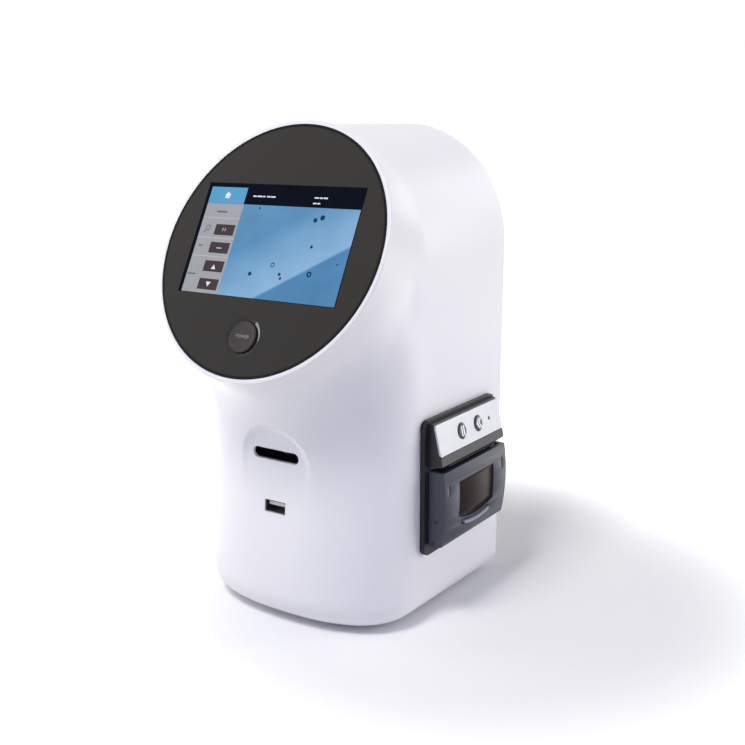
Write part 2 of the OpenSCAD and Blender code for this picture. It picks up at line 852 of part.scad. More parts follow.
module camera() {
    color("#2b2b2b") translate([0, axis_y, carriage_z - camera_h]) difference() {
        union() {
            translate([-camera_w / 2, -camera_w / 2, 3]) cube([camera_w, camera_w, camera_h - 3]);
            translate([-camera_w / 2 - 2, -camera_w / 2 - 2, 1.4])
                cube([camera_w + 4, camera_w + 4, board_t + eps]);
            translate([-8, 6, 0]) cube([16, 5, 1.4 + eps]);
        }
        translate([0, 0, 6]) cylinder(r = objective_r - 4, h = camera_h);
    }
}

module guide_rods() {
    color("silver") for (s = [-1, 1])
        translate([s * rod_x, rod_y, stage_z]) cylinder(r = rod_r, h = shelf_top - stage_z);
}

module lead_screw() {
    color("gold") translate([0, rod_y, stage_z + motor_h + run_gap]) {
        cylinder(r = screw_r, h = shelf_top - stage_z - motor_h - run_gap);
        cylinder(r = screw_r + 1.5, h = 4);
    }
}

module focus_motor() {
    color("#303030") translate([0, rod_y, stage_z]) {
        for (z = [0, motor_h - 4]) translate([0, 0, z])
            linear_extrude(4) round_rect(motor_w, motor_w, 0.15 * motor_w);
        translate([0, 0, 2]) linear_extrude(motor_h - 4) round_rect(motor_w - 1, motor_w - 1, 0.2 * motor_w);
        translate([-5, -motor_w / 2 - 3, 2]) cube([10, 5, 6]);
    }
}

/* Electronics */

module board_posts() {
    on_back() for (x = [-1, 1], y = [-1, 1])
        translate([x * (board_w / 2 - 5), board_rise + y * (board_h / 2 - 5), -cover_t - post_len])
            children();
}

module main_board() {
    color("darkgreen") difference() {
        on_back() translate([0, board_rise, -cover_t - post_len - board_t]) {
            linear_extrude(board_t) round_rect(board_w, board_h, 3);
            translate([-12, 10, -8]) for (k = [0 : 6]) translate([4 * k, 0, 0]) cube([1.4, 26, 6]);
            translate([-12, 10, -2]) cube([25.4, 26, 2 + eps]);
            translate([-36, -30, -3]) cube([20, 20, 3 + eps]);
            translate([-6, 12 - board_h / 2, -5]) cube([32, 6, 5 + eps]);
            translate([30, -20, -9]) cube([8, 40, 9 + eps]);
            for (k = [0 : 3]) translate([-34 + 11 * k, board_h / 2 - 10, -7]) cylinder(r = 3, h = 7 + eps);
        }
        board_posts() translate([0, 0, -board_t - 1]) cylinder(r = screw_core + 0.4, h = board_t + 2);
    }
}

module board_screws() {
    color("silver") board_posts() translate([0, 0, -board_t]) rotate([180, 0, 0]) pan_screw(9);
}

module power_inlet() {
    r = inlet_r;
    color("#202020") on_back() translate([inlet_at.x, inlet_at.y, 0]) rotate_extrude() polygon([
        [0, -12], [r, -12], [r, -cover_t - 2], [r + 2.5, -cover_t - 2], [r + 2.5, -cover_t], [r, -cover_t],
        [r, 0], [r + 1.5, 0], [r + 1.5, 0.8], [3.2, 0.8], [3.2, -9], [1.05, -9], [1.05, -1], [0, -1]
    ]);
}

/* Label printer */

module hood_profile() {
    s = tan(panel_tilt);
    face = panel_d - panel_t / cos(panel_tilt);
    rise = panel_h / 2 * cos(panel_tilt) + panel_t * sin(panel_tilt);
    step = panel_v - rise;
    polygon([
        [0, hood_top], [face - s * (hood_top - panel_v), hood_top],
        [face + s * rise, step], [panel_d + s * rise, step],
        [panel_d + s * (panel_v - hood_low) - 0.3, hood_low + 0.6],
        [panel_d + s * (panel_v - hood_low) - 1.2, hood_low - 0.2],
        [0, opening_high]
    ]);
}

module catch_peg() {
    translate([opening_u - 1.5, 0, 0]) across(4) translate([catch_d, catch_v]) circle(catch_r);
}

module printer_bezel() {
    s = tan(panel_tilt);
    skin = panel_d - (panel_t + panel_skin) / cos(panel_tilt);
    color("#2e3236") difference() {
        on_side() difference() {
            union() {
                linear_extrude(flange_t) round_rect(flange_w, flange_h, 5);
                across(door_w) hood_profile();
                for (m = [0, 1]) mirror([m, 0, 0]) {
                    translate([31.6, 0, 0]) across(4.4) {
                        translate([hinge_d, hinge_v]) circle(hinge_ear - 0.1);
                        translate([0, hinge_v - 2.4]) square([hinge_d, 4.8]);
                    }
                    catch_peg();
                }
            }
            difference() {
                translate([-opening_u, opening_low, -1])
                    cube([2 * opening_u, opening_high - opening_low, flange_t + 2]);
                for (m = [0, 1]) mirror([m, 0, 0]) catch_peg();
            }
            across(2 * opening_u - 1) polygon([
                [-1, hood_top - 2], [skin - s * (hood_top - 2 - panel_v), hood_top - 2],
                [skin + s * (panel_v - hood_low - 2.4), hood_low + 2.4], [-1, hood_low + 2.4]
            ]);
            for (m = [0, 1]) mirror([m, 0, 0])
                translate([31.6, 0, 0]) across(5) translate([hinge_d, hinge_v]) circle(hinge_r + 0.02);
        }
        on_panel() for (u = key_u) translate([u, 0, -6]) cylinder(r = key_r + run_gap, h = 12);
        on_panel() translate([lamp_u, 0, -6]) cylinder(r = lamp_r + 0.1, h = 12);
    }
}

// Bucket that holds the roll, with a rail for the print head and an axle for the gear
module printer_case() {
    color("#26292c") on_side() {
        difference() {
            translate([-case_u, -case_u, -case_depth]) cube([2 * case_u, 2 * case_u, case_depth]);
            translate([-case_u + case_wall, roll_v, -case_depth + case_wall])
                cube([2 * (case_u - case_wall), case_u - case_wall - roll_v, case_depth]);
            across(2 * (case_u - case_wall)) translate([roll_d, roll_v]) circle(roll_r + 0.5, $fn = 64);
            translate([-case_u + case_wall, roll_v - roll_r + 4, roll_d])
                cube([2 * (case_u - case_wall), roll_r + 1, case_depth]);
        }
        translate([-case_u + 1, 6, rail_d - 2.8]) cube([case_u - 1 + bay_u + bay_t, 5, 2.8]);
        difference() {
            translate([bay_u, 5, -case_depth + 1]) cube([bay_t, case_u - 6, case_depth + rail_d - 1]);
            pinion_at(bay_u) cylinder(r = motor_boss + seat_gap, h = 3 * bay_t, center = true);
        }
        drive_at(bay_u) cylinder(r = shaft_r, h = case_u - 1 - bay_u);
    }
}

// Centre distances of the gear train
drive_reach = gear_module * (platen_teeth + drive_teeth) / 2 + gear_play;
pinion_reach = gear_module * (drive_teeth + pinion_teeth) / 2 + gear_play;
drive_d = platen_d + drive_reach * cos(drive_angle);
drive_v = platen_v + drive_reach * sin(drive_angle);
pinion_d = drive_d + pinion_reach * cos(pinion_angle);
pinion_v = drive_v + pinion_reach * sin(pinion_angle);
motor_boss = 3;

// Turns of the gears at which their teeth interleave
drive_phase = drive_angle + 180 + 180 / drive_teeth;
pinion_phase = pinion_angle + 180
    + ((pinion_angle - drive_phase) * drive_teeth / 360 + 0.5) * 360 / pinion_teeth;

// Front of the rail that carries the print head
head_face = platen_d - platen_r - run_gap;
rail_d = head_face - 6.6;

// Axes across the printer: z runs to the back, x out of the side
module axis_at(u, d, v) translate([u, v, d]) rotate([0, 90, 0]) mirror([1, 0, 0]) children();
module drive_at(u) axis_at(u, drive_d, drive_v) children();
module pinion_at(u) axis_at(u, pinion_d, pinion_v) children();

module control_panel() {
    color("silver") on_panel() difference() {
        translate([0, 0, -panel_t]) linear_extrude(panel_t) round_rect(door_w - 0.4, panel_h - 0.2, 1);
        for (u = key_u) translate([u, 0, -panel_t - 1]) cylinder(r = key_r + run_gap, h = panel_t + 2);
        translate([lamp_u, 0, -panel_t - 1]) cylinder(r = lamp_r + 0.1, h = panel_t + 2);
    }
}

module panel_key(u) {
    back = -panel_t - panel_skin - run_gap;
    color("#202428") on_panel() translate([u, 0, 0]) rotate_extrude() polygon([
        [0, 0.8], [key_r - 0.9, 0.8], [key_r, 0.2], [key_r, back], [key_r + 0.9, back],
        [key_r + 0.9, back - 0.6], [0, back - 0.6]
    ]);
}

module pause_button() panel_key(key_u[0]);

module feed_button() panel_key(key_u[1]);

module status_lamp() {
    color("#60ff80") on_panel() translate([lamp_u, 0, -5.5]) rotate_extrude()
        polygon([[0, 0], [lamp_r, 0], [lamp_r, 5.5], [lamp_r - 0.5, 5.8], [0, 5.9]]);
}

module key_board() {
    plunger = -panel_t - panel_skin - 2 * run_gap - 0.6 - key_travel;
    back = plunger - 2.2;
    color("darkgreen") on_panel() {
        translate([-24, -7, back - board_t]) cube([53, 14, board_t]);
        for (u = key_u) translate([u, 0, back - eps]) {
            translate([-3, -3, 0]) cube([6, 6, 1.6]);
            cylinder(r = 1.6, h = plunger - back);
        }
        translate([lamp_u - 1.5, -1.5, back - eps]) cube([3, 3, -5.5 - back]);
    }
}

module tear_bar() {
    teeth = 36;
    w = 56;
    tip = panel_d + tan(panel_tilt) * (panel_v - hood_low) - 0.4;
    color("silver") on_side() translate([0, opening_high - 0.7, 0]) rotate([-90, 0, 0]) linear_extrude(0.6)
        mirror([0, 1]) polygon(concat(
            [[-w / 2, 5], [-w / 2, tip - 1]],
            [for (k = [0 : teeth - 1]) each [
                [-w / 2 + (k + 0.5) * w / teeth, tip], [-w / 2 + (k + 1) * w / teeth, tip - 1]
            ]],
            [[w / 2, 5]]
        ));
}

module print_head() {
    color("#8a8f94") on_side() {
        translate([-platen_u - 1, platen_v - 6.5, head_face - 1.2]) cube([2 * platen_u + 2, 13, 1.2]);
        translate([-platen_u - 1, platen_v - 5.5, rail_d])
            cube([2 * platen_u + 2, 11, head_face - 1.2 - rail_d + eps]);
    }
}

module printer_motor() {
    color("#3b3f44") on_side() pinion_at(bay_u) difference() {
        rotate_extrude() polygon([
            [0, -19], [8, -19], [9, -18], [9, 0], [motor_boss, 0], [motor_boss, bay_t], [0, bay_t]
        ]);
        translate([0, 0, -2]) cylinder(r = 1 + shaft_gap, h = 5);
    }
}

module motor_pinion() {
    color("gold") on_side() pinion_at(gear_u + gear_w / 2) {
        rotate([0, 0, pinion_phase]) gear(pinion_teeth, 0.5);
        translate([0, 0, bay_u - 1.5 - gear_u - gear_w / 2])
            cylinder(r = 1, h = gear_u + gear_w - bay_u + 1.5);
    }
}

module drive_gear() {
    color("ivory") on_side() drive_at(gear_u + gear_w / 2)
        rotate([0, 0, drive_phase]) gear(drive_teeth, shaft_r + shaft_gap);
}

module paper_roll() {
    color("white") on_side() axis_at(0, roll_d, roll_v) difference() {
        cylinder(r = roll_r, h = paper_w, center = true, $fn = 96);
        cylinder(r = 6, h = paper_w + 2, center = true);
    }
}

/* Printer door */

module door_front(shrink) translate([door_bulge - door_r, door_mid]) circle(door_r - shrink, $fn = 360);

module door_side(shrink) {
    intersection() {
        door_front(shrink);
        union() {
            translate([door_inset, hinge_v + 2]) square([20, door_top - hinge_v - 2]);
            translate([hinge_d, door_low]) square([20, 10]);
        }
    }
    translate([hinge_d, hinge_v]) circle(hinge_ear);
}

module window_outline(grow) {
    intersection() {
        translate([-window_u - grow, window_low - grow])
            square([2 * (window_u + grow), window_top - window_low + 2 * grow]);
        translate([0, window_low + window_r]) circle(window_r + grow, $fn = 180);
    }
}

module lip_outline(u, from, to) {
    intersection() {
        translate([0, window_low + window_r]) difference() {
            circle(window_r + to, $fn = 180);
            circle(window_r + from, $fn = 180);
        }
        translate([-u, window_low - 8]) square([2 * u, 10]);
    }
}

module printer_door() {
    inner_u = door_w / 2 - door_t;
    color("#34393e") on_side() difference() {
        union() {
            difference() {
                across(door_w) door_side(0);
                across(2 * inner_u) {
                    difference() {
                        door_front(door_t);
                        translate([-60, door_low - 40]) square([160, 40 + door_t]);
                    }
                    translate([0, hinge_v - 4]) square([hinge_d + 1.5, 12]);
                    translate([hinge_d, hinge_v]) circle(hinge_ear + run_gap);
                }
            }
            for (m = [0, 1]) mirror([m, 0, 0]) translate([arm_u + arm_t / 2, 0, 0]) across(arm_t)
                intersection() {
                    door_front(1);
                    translate([platen_d - 4, platen_v - 6]) square([12, 11.5]);
                }
        }
        translate([0, 0, 2]) linear_extrude(20) window_outline(0);
        translate([0, 0, 2]) linear_extrude(20) lip_outline(lip_u + 1, 1, 4.6);
        axis_at(gear_u + gear_w / 2, platen_d, platen_v)
            cylinder(r = platen_tip + run_gap, h = gear_w + 2 * run_gap, center = true);
        across(door_w + 2) {
            translate([hinge_d, hinge_v]) circle(hinge_r + shaft_gap);
            translate([latch_d, latch_v]) circle(hinge_r + 0.02);
        }
        across(2 * (arm_u + arm_t) + 1) translate([platen_d, platen_v]) circle(shaft_r + shaft_gap);
        for (s = [-1, 1]) translate([s * (door_w / 2 - 5.2), -0.5, 9])
            linear_extrude(10) square([1, 7], center = true);
    }
}

module door_window() {
    color("#5a3028") on_side() {
        intersection() {
            across(60) difference() {
                door_front(0.5);
                door_front(door_t + 0.1);
            }
            translate([0, 0, 2]) linear_extrude(20) window_outline(-0.15);
        }
        intersection() {
            across(60) difference() {
                door_front(door_t + 0.05);
                door_front(door_t + 1.2);
            }
            translate([0, 0.6, 2]) linear_extrude(20) window_outline(0.7);
        }
    }
}

module door_latch() {
    lip_out = door_bulge + 0.4;
    color("#4a4f55") on_side() {
        difference() {
            union() {
                for (m = [0, 1]) mirror([m, 0, 0]) translate([latch_u + latch_t / 2, 0, 0]) across(latch_t) {
                    translate([latch_d, latch_v]) circle(2.6);
                    polygon([
                        [5.2, -28], [8.4, -28], [11, -19], [10, -17],
                        [1, -11.4], [-0.8, -11.4], [-0.8, -13.6], [6, -18.5]
                    ]);
                }
                translate([-latch_u - latch_t, -28, 5.4]) cube([2 * (latch_u + latch_t), 3, 3]);
            }
            across(80) translate([latch_d, latch_v]) circle(hinge_r + shaft_gap);
        }
        translate([0, 0, 8.2]) linear_extrude(lip_out - 8.2) lip_outline(lip_u, 2, 3.6);
    }
}

module latch_pin() {
    color("silver") on_side() axis_at(0, latch_d, latch_v)
        cylinder(r = hinge_r, h = door_w - 1, center = true);
}

module hinge_pins() {
    color("silver") on_side() for (s = [-1, 1])
        axis_at(s * (door_w / 2 - 3.8), hinge_d, hinge_v) cylinder(r = hinge_r, h = 7.2, center = true);
}

module platen_roller() {
    color("#303030") on_side() axis_at(0, platen_d, platen_v) {
        cylinder(r = platen_r, h = 2 * platen_u, center = true);
        cylinder(r = shaft_r, h = 2 * (arm_u + arm_t + 0.2), center = true);
        translate([0, 0, arm_u + arm_t]) cylinder(r = shaft_r, h = gear_w + 0.8);
    }
}

module platen_gear() {
    color("ivory") on_side() axis_at(gear_u + gear_w / 2, platen_d, platen_v)
        rotate([0, 0, drive_angle]) gear(platen_teeth, shaft_r + 0.01);
}

main_housing();
rear_cover();
base_plate();
rubber_feet();
base_screws();
rear_screws();
cover_glass();
display_module();
display_carrier();
carrier_screws();
power_button();
switch_board();
usb_shell();
usb_tongue();
usb_board();
slide_guide();
optics_frame();
lamp_housing();
lamp_board();
condenser_lens();
objective();
focus_carriage();
camera();
guide_rods();
lead_screw();
focus_motor();
main_board();
board_screws();
power_inlet();
printer_bezel();
printer_case();
control_panel();
pause_button();
feed_button();
status_lamp();
key_board();
tear_bar();
print_head();
printer_motor();
motor_pinion();
drive_gear();
paper_roll();
printer_door();
door_window();
door_latch();
latch_pin();
hinge_pins();
platen_roller();
platen_gear();
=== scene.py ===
import math

import bpy
import numpy as np
from mathutils import Matrix, Vector


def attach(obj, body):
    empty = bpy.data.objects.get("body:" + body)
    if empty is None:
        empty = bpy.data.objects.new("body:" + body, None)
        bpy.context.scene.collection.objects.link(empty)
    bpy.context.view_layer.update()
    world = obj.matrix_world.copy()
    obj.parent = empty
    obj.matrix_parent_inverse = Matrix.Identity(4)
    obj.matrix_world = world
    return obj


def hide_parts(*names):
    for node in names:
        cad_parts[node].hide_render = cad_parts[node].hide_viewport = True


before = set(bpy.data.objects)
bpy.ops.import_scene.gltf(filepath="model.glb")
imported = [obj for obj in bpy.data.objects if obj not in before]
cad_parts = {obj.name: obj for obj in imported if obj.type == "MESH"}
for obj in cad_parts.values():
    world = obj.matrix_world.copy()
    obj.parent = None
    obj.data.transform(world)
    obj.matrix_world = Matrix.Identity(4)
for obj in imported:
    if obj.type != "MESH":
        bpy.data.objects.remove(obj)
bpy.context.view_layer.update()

# Lengths below are in millimetres in the frame of the part: X right, Y back, Z up
MM = 0.001

# ---------------------------------------------------------------- sizes of the moulding

BODY_W = 141.5
BODY_D = 142.7
BODY_H = 283.0
WALL = 2.6
SIDE_FLAT = 97.8
FRONT_POWER = 2.36
FRONT_LEAN = math.radians(3.4)
BACK_LEAN = 0.9
FOOT_ROUND = 14.5
FOOT_SWING = 3.0
FOOT_H = 3.0
FOOT_SINK = 0.3
FLOOR_T = 5.0
BACK_ROUND = 3.0
BACK_SPARE = 14.0
BACK_CLEAR = 0.3

# The skin's exact normals go to corners this near it that face along it, between sharp edges
ON_SKIN = 0.05
ALONG_SKIN = 0.7
SHARP = math.radians(30)

RIM_R = 75.9
RIM_FLAT = 6.8
RIM_RISE = 2.5
RIM_EDGE = 0.9
FACE_TILT = math.radians(27.6)
CHIN_REACH = 30.2
HEAD_SWELL = 0.119
HEAD_CURVE = 252.0
NECK_ROUND = 43.5
NECK_GROWTH = 1.35
NECK_EASE = 30.0
NECK_FROM = 75.0
NECK_END = 140.0
NECK_LEAST = 0.2
UNDER_SOFT = 0.8

HALF_W = BODY_W / 2
REAR_Y = BODY_D / 2
FRONT_Y = -REAR_Y
CREASE_Y = REAR_Y - SIDE_FLAT
CREASE_RAKE = 0.03
ARCH_Z = BODY_H - HALF_W
FACE_Z = BODY_H + RIM_RISE - RIM_R * math.cos(FACE_TILT)
FACE_Y = FRONT_Y - CHIN_REACH + RIM_R * math.sin(FACE_TILT)
FACE_C = np.array([0.0, FACE_Y, FACE_Z])
FACE_OUT = np.array([0.0, -math.cos(FACE_TILT), math.sin(FACE_TILT)])
FAN_Y = FACE_Y - (FACE_Z - FOOT_H) * math.tan(FACE_TILT)
FAN_MID = math.radians(38.0)
FAN_END = math.pi / 2 - FACE_TILT
FAN_FAR = 260.0
CAST_STEPS = 26

# Steps of the fan and round it, as (from, to, count) in degrees
SKIN_FAN = ((0.05, 3.5, 14), (3.5, 9, 14), (9, 44, 76), (44, 61.5, 36))
SKIN_TURNS = ((-112, -68, 60), (-68, 248, 210))
HOLLOW_FAN = ((1.6, 7, 3), (7, 38, 6), (38, 50, 6), (50, 61.2, 8))
HOLLOW_TURNS = ((-90, 270, 60),)

# How far a tool runs on past what it cuts, half the depth of a plain cut, and more than the part
PAST = 20.0
CUT = 10.0
WIDE = 300.0

# The bridge between the rim and the arch turns about a line over the head
BRIDGE_Y = CREASE_Y + CREASE_RAKE * ARCH_Z
BRIDGE_REACH = (BRIDGE_Y - FACE_Y) / math.sin(FACE_TILT)
BRIDGE_Z = FACE_Z + BRIDGE_REACH * math.cos(FACE_TILT)
BRIDGE_JOIN = 0.6
BRIDGE_SOFT = 36.0
BRIDGE_DROP = 25.0

# Cover glass, display and power button, in the frame of the face
GLASS_R = 73.5
GLASS_T = 2.0
GLASS_LEDGE = 3.0
POWER_DROP = 50.3
CARRIER_BACK = -8.9
CARRIER_SCREW_R = 65.5
CARRIER_ANGLES = (60, 120, 220, 320)
BOSS_R = 4.5
BOSS_LONG = 14.0

# Openings of the front
SLOT_Z = 101.2
SLOT_W = 32.8
SLOT_H = 6.6
SLOT_DEEP = 24.0
RECESS_W = 45.0
RECESS_DEPTH = 2.6
RECESS_TOP = SLOT_Z + 16.5
RECESS_FADE = RECESS_TOP - FOOT_H - 22
RECESS_SOFT = 5.0
RECESS_WALL = (62.0, 90.0)
# The slot's black sleeve is painted shade of the slot's inside
SLEEVE_GAP = 0.05
SLEEVE_T = 0.5
SLEEVE_BACK = 0.35
SLEEVE_DEEP = 4.0
USB_Z = 70.7
USB_W = 14.5
USB_H = 7.1
USB_DEEP = 15.0
SEAT_GAP = 0.2
RUN_GAP = 0.3

# Base, rear cover and printer
BASE_W = 109.0
BASE_FRONT = CREASE_Y - 20
BASE_BACK = REAR_Y - 16
BASE_CORNER = 16.0
BASE_LIP = 12.5
BASE_T = 2.2
COVER_T = 2.0
COVER_R = HALF_W - 9
COVER_FOOT = 22.0
COVER_RISE = ARCH_Z - FOOT_H
COVER_LEDGE = 9.5
LEDGE_T = 2.4
LEDGE_LAP = 1.5
PRINTER_Y = 16.5
PRINTER_Z = 82.0
CASE_U = 36.0
CASE_DEEP = 12.0
FLANGE = (81.4, 80.0)
FLANGE_CORNER = 5.0
PANEL_TILT = -12.8
PANEL_D = 9.25
PANEL_V = 28.9
KEY_U = (-9.9, 9.2)
KEY_TOP = 0.8


# ---------------------------------------------------------------- distances from the skin

def corner(a, b, r):
    """Two surfaces that meet at a rounded edge."""
    outside = np.hypot(np.maximum(a + r, 0), np.maximum(b + r, 0))
    return np.minimum(np.maximum(a + r, b + r), 0) + outside - r


def soft_join(a, b, k):
    """Two bodies that run into one another with a hollow blend, k / 4 deep at its middle."""
    h = np.maximum(1.5 * k - np.abs(a - b), 0) / (1.5 * k)
    return np.minimum(a, b) - h ** 3 * k / 4


def column_gap(p, inset):
    """Column: flat sides under a round arch, a curved front and a rounded foot."""
    x, y = p[..., 0], p[..., 1]
    z = p[..., 2] - FOOT_H + FOOT_SINK
    up = np.maximum(p[..., 2] - ARCH_Z, 0)
    w = HALF_W - inset
    crease = CREASE_Y + CREASE_RAKE * z
    b = crease - FRONT_Y - math.tan(FRONT_LEAN) * z - inset
    r = np.hypot(x, up) / w
    t = np.maximum(crease - y, 0) / b
    q = np.maximum((r ** FRONT_POWER + t ** FRONT_POWER) ** (1 / FRONT_POWER), 0.01)
    slope = np.hypot((r / q) ** (FRONT_POWER - 1) / w, (t / q) ** (FRONT_POWER - 1) / b)
    foot = np.maximum(FOOT_ROUND - FOOT_SWING * y / REAR_Y - inset, 1)
    side = corner((q - 1) / slope, inset - z, foot)
    return np.maximum(side, y - REAR_Y - BACK_SPARE)


def face_depth(p):
    """Depth of a point behind the face."""
    return -(p - FACE_C) @ FACE_OUT


def taper(p):
    """Share of the way from the face to the upright section at the crease."""
    s = face_depth(p)
    e = BRIDGE_Y - p[..., 1]
    return np.where(e <= 0, 1, np.clip(s / np.maximum(s + e, 0.01), 0, 1))


def bridge_gap(p, inset):
    """Bridge: round sections that turn from the rim into the arch."""
    t = taper(p)
    reach = np.hypot(np.minimum(p[..., 1] - BRIDGE_Y, 0), p[..., 2] - BRIDGE_Z)
    middle = BRIDGE_REACH + (BRIDGE_Z - ARCH_Z - BRIDGE_REACH) * t
    tube = np.hypot(p[..., 0], reach - middle) - (RIM_R + (HALF_W - RIM_R) * t - inset)
    return np.maximum(tube, p[..., 2] - BRIDGE_Z)


def downward(p):
    """1 under the head's axis, 0 beside and over it, with an even change between."""
    q = p - FACE_C
    v = q[..., 1] * math.sin(FACE_TILT) + q[..., 2] * math.cos(FACE_TILT)
    low = np.clip(-v / np.maximum(np.hypot(q[..., 0], v), 0.01) / UNDER_SOFT, 0, 1)
    return low * low * (3 - 2 * low)


def head_gap(p, inset):
    """Head: a drum behind the face that swells below, draws in and narrows with the column."""
    s = face_depth(p)
    q = p - FACE_C
    d = np.maximum(s - RIM_FLAT, 0)
    v = q[..., 1] * math.sin(FACE_TILT) + q[..., 2] * math.cos(FACE_TILT)
    full = RIM_R - inset
    reach = np.hypot(q[..., 0] * full / (full + (HALF_W - RIM_R) * taper(p)), v)
    drum = full + HEAD_SWELL * d * downward(p) - d * d / HEAD_CURVE
    return (reach - drum) / np.hypot(1, HEAD_SWELL - 2 * d / HEAD_CURVE)


def front_at(z):
    """Floor of the recess in the front, which fades out towards the foot."""
    fade = np.maximum(1 - (RECESS_TOP - z) / RECESS_FADE, 0)
    return FRONT_Y + math.tan(FRONT_LEAN) * (z - FOOT_H) + RECESS_DEPTH * fade


def recess_depth(p):
    """Depth of the soft-edged recess round the slot and the port."""
    x, y, z = p[..., 0], p[..., 1], p[..., 2]
    r = RECESS_W / 2
    top = z - (RECESS_TOP - r)
    edge = np.where(top > 0, np.hypot(x, top), np.abs(x)) - r
    share = np.clip(0.5 - edge / RECESS_SOFT, 0, 1)
    low = np.clip(0.5 + (z - RECESS_TOP + RECESS_FADE) / RECESS_SOFT, 0, 1)
    cut = np.maximum(front_at(z) - y, 0) * share * share * (3 - 2 * share) * low
    return np.where(y < 0, cut, 0)


def skin_gap(p, inset=0.0):
    """Signed distance, roughly, from the skin of the housing."""
    s = face_depth(p)
    fade = NECK_ROUND * (NECK_END - s) / (NECK_END - NECK_FROM)
    full = soft_join(soft_join(NECK_GROWTH * s, NECK_ROUND, NECK_EASE), fade, NECK_EASE)
    k = np.maximum(full, 0) * downward(p) + NECK_LEAST
    neck = soft_join(column_gap(p, inset), head_gap(p, inset), k)
    t = taper(p)
    low = np.clip((ARCH_Z - p[..., 2]) / BRIDGE_DROP, 0, 1)
    return soft_join(neck, bridge_gap(p, inset), BRIDGE_JOIN + BRIDGE_SOFT * t * (1 - t) * low)


def outer_gap(p):
    """The skin with its front recess."""
    return skin_gap(p) + recess_depth(p)


def slope_of(gap, p, step=0.02):
    """Unit normals of a surface from its gap function."""
    out = np.empty_like(p)
    for axis in range(3):
        d = np.zeros(3)
        d[axis] = step
        out[..., axis] = gap(p + d) - gap(p - d)
    return out / np.maximum(np.linalg.norm(out, axis=-1, keepdims=True), 1e-9)


# ---------------------------------------------------------------- meshes

def steps(stretches):
    """Angles in radians that step through stretches of (from, to, count) in degrees."""
    return np.radians(np.concatenate([np.linspace(a, b, n, endpoint=False) for a, b, n in stretches]))


def cast(centres, rays, gap):
    """Points at which rays from each centre leave a surface, by halving."""
    near = np.zeros(rays.shape[:2])
    far = np.full(rays.shape[:2], FAN_FAR)
    for _ in range(CAST_STEPS):
        mid = (near + far) / 2
        inside = gap(centres + rays * mid[..., None]) < 0
        near = np.where(inside, mid, near)
        far = np.where(inside, far, mid)
    return centres + rays * near[..., None]


def fan_rays(angles, turns):
    """Centres and rays of sections that fan from the foot's plane to the face's plane."""
    share = np.clip((angles - FAN_MID) / (FAN_END - FAN_MID), 0, 1)
    y = FACE_Y * share
    centres = np.stack([0 * y, y, FOOT_H + (y - FAN_Y) * np.tan(angles)], -1)[:, None, :]
    t, a = np.meshgrid(turns, angles)
    return centres, np.stack([np.cos(t), np.sin(t) * np.cos(a), np.sin(t) * np.sin(a)], -1)


def show(name, data):
    """A new object in the scene."""
    obj = bpy.data.objects.new(name, data)
    bpy.context.scene.collection.objects.link(obj)
    return obj


def dress(obj, mat):
    """Gives an object one finish all over."""
    obj.data.materials.clear()
    obj.data.materials.append(mat)


def build(name, points, faces):
    """An object from points in millimetres."""
    mesh = bpy.data.meshes.new(name)
    mesh.from_pydata((np.asarray(points) * MM).tolist(), [], faces)
    mesh.validate()
    return show(name, mesh)


def loft_faces(rings, n, start=0):
    """Sides between rings of n points, with a cap on each end."""
    faces = []
    for j in range(rings - 1):
        for k in range(n):
            a, b = start + j * n + k, start + j * n + (k + 1) % n
            faces.append((a, b, b + n, a + n))
    faces.append(tuple(range(start + n - 1, start - 1, -1)))
    last = start + (rings - 1) * n
    faces.append(tuple(range(last, last + n)))
    return faces


def loft(name, rings):
    """A closed solid through rings of points."""
    rings = np.asarray(rings, float)
    return build(name, rings.reshape(-1, 3), loft_faces(rings.shape[0], rings.shape[1]))


def turned(x=0.0, z=0.0):
    """Rotation about X and then about Z, in degrees."""
    return Matrix.Rotation(math.radians(z), 3, "Z") @ Matrix.Rotation(math.radians(x), 3, "X")


ON_FACE = (turned(x=90 - math.degrees(FACE_TILT)), FACE_C)
ON_BACK = (turned(x=90 + BACK_LEAN, z=180), (0, REAR_Y, FOOT_H))
ON_SIDE = (turned(x=90, z=90), (HALF_W, PRINTER_Y, PRINTER_Z))
ON_PLAN = (turned(), (0, 0, 0))
ON_FRONT = (turned(x=90), (0, 0, 0))
ON_PANEL = (
    ON_SIDE[0] @ turned(x=PANEL_TILT),
    np.array(ON_SIDE[1]) + np.array([PANEL_D, 0, PANEL_V]),
)


def placed(points, place):
    """Points of a local frame in the frame of the part."""
    turn, origin = place
    return np.asarray(points, float) @ np.array(turn).T + np.asarray(origin, float)


def circle(r, u=0.0, v=0.0, n=64):
    t = np.arange(n) * 2 * math.pi / n
    return np.stack([u + r * np.cos(t), v + r * np.sin(t)], -1)


def rect(u0, v0, u1, v1, r=0.0, n=6):
    """A rectangle, with rounded corners where r is above 0."""
    if r <= 0:
        return np.array([(u0, v0), (u1, v0), (u1, v1), (u0, v1)], float)
    corners = ((u1 - r, v1 - r, 0), (u0 + r, v1 - r, 90), (u0 + r, v0 + r, 180), (u1 - r, v0 + r, 270))
    t = np.linspace(0, 90, n + 1)
    return np.array([
        (u + r * math.cos(math.radians(a + k)), v + r * math.sin(math.radians(a + k)))
        for u, v, a in corners for k in t
    ])


def arched(half, foot, rise, n=96):
    """Outline with straight sides and a round top."""
    t = np.linspace(0, math.pi, n)
    top = np.stack([half * np.cos(t), rise + half * np.sin(t)], -1)
    return np.vstack([[(half, foot)], top, [(-half, foot)]])


def prism_rings(outline, low, high):
    flat = np.asarray(outline, float)
    return [np.column_stack([flat, np.full(len(flat), z)]) for z in (low, high)]


def prism(name, outline, low, high, place):
    """A straight prism over an outline, in a local frame."""
    return loft(name, [placed(ring, place) for ring in prism_rings(outline, low, high)])


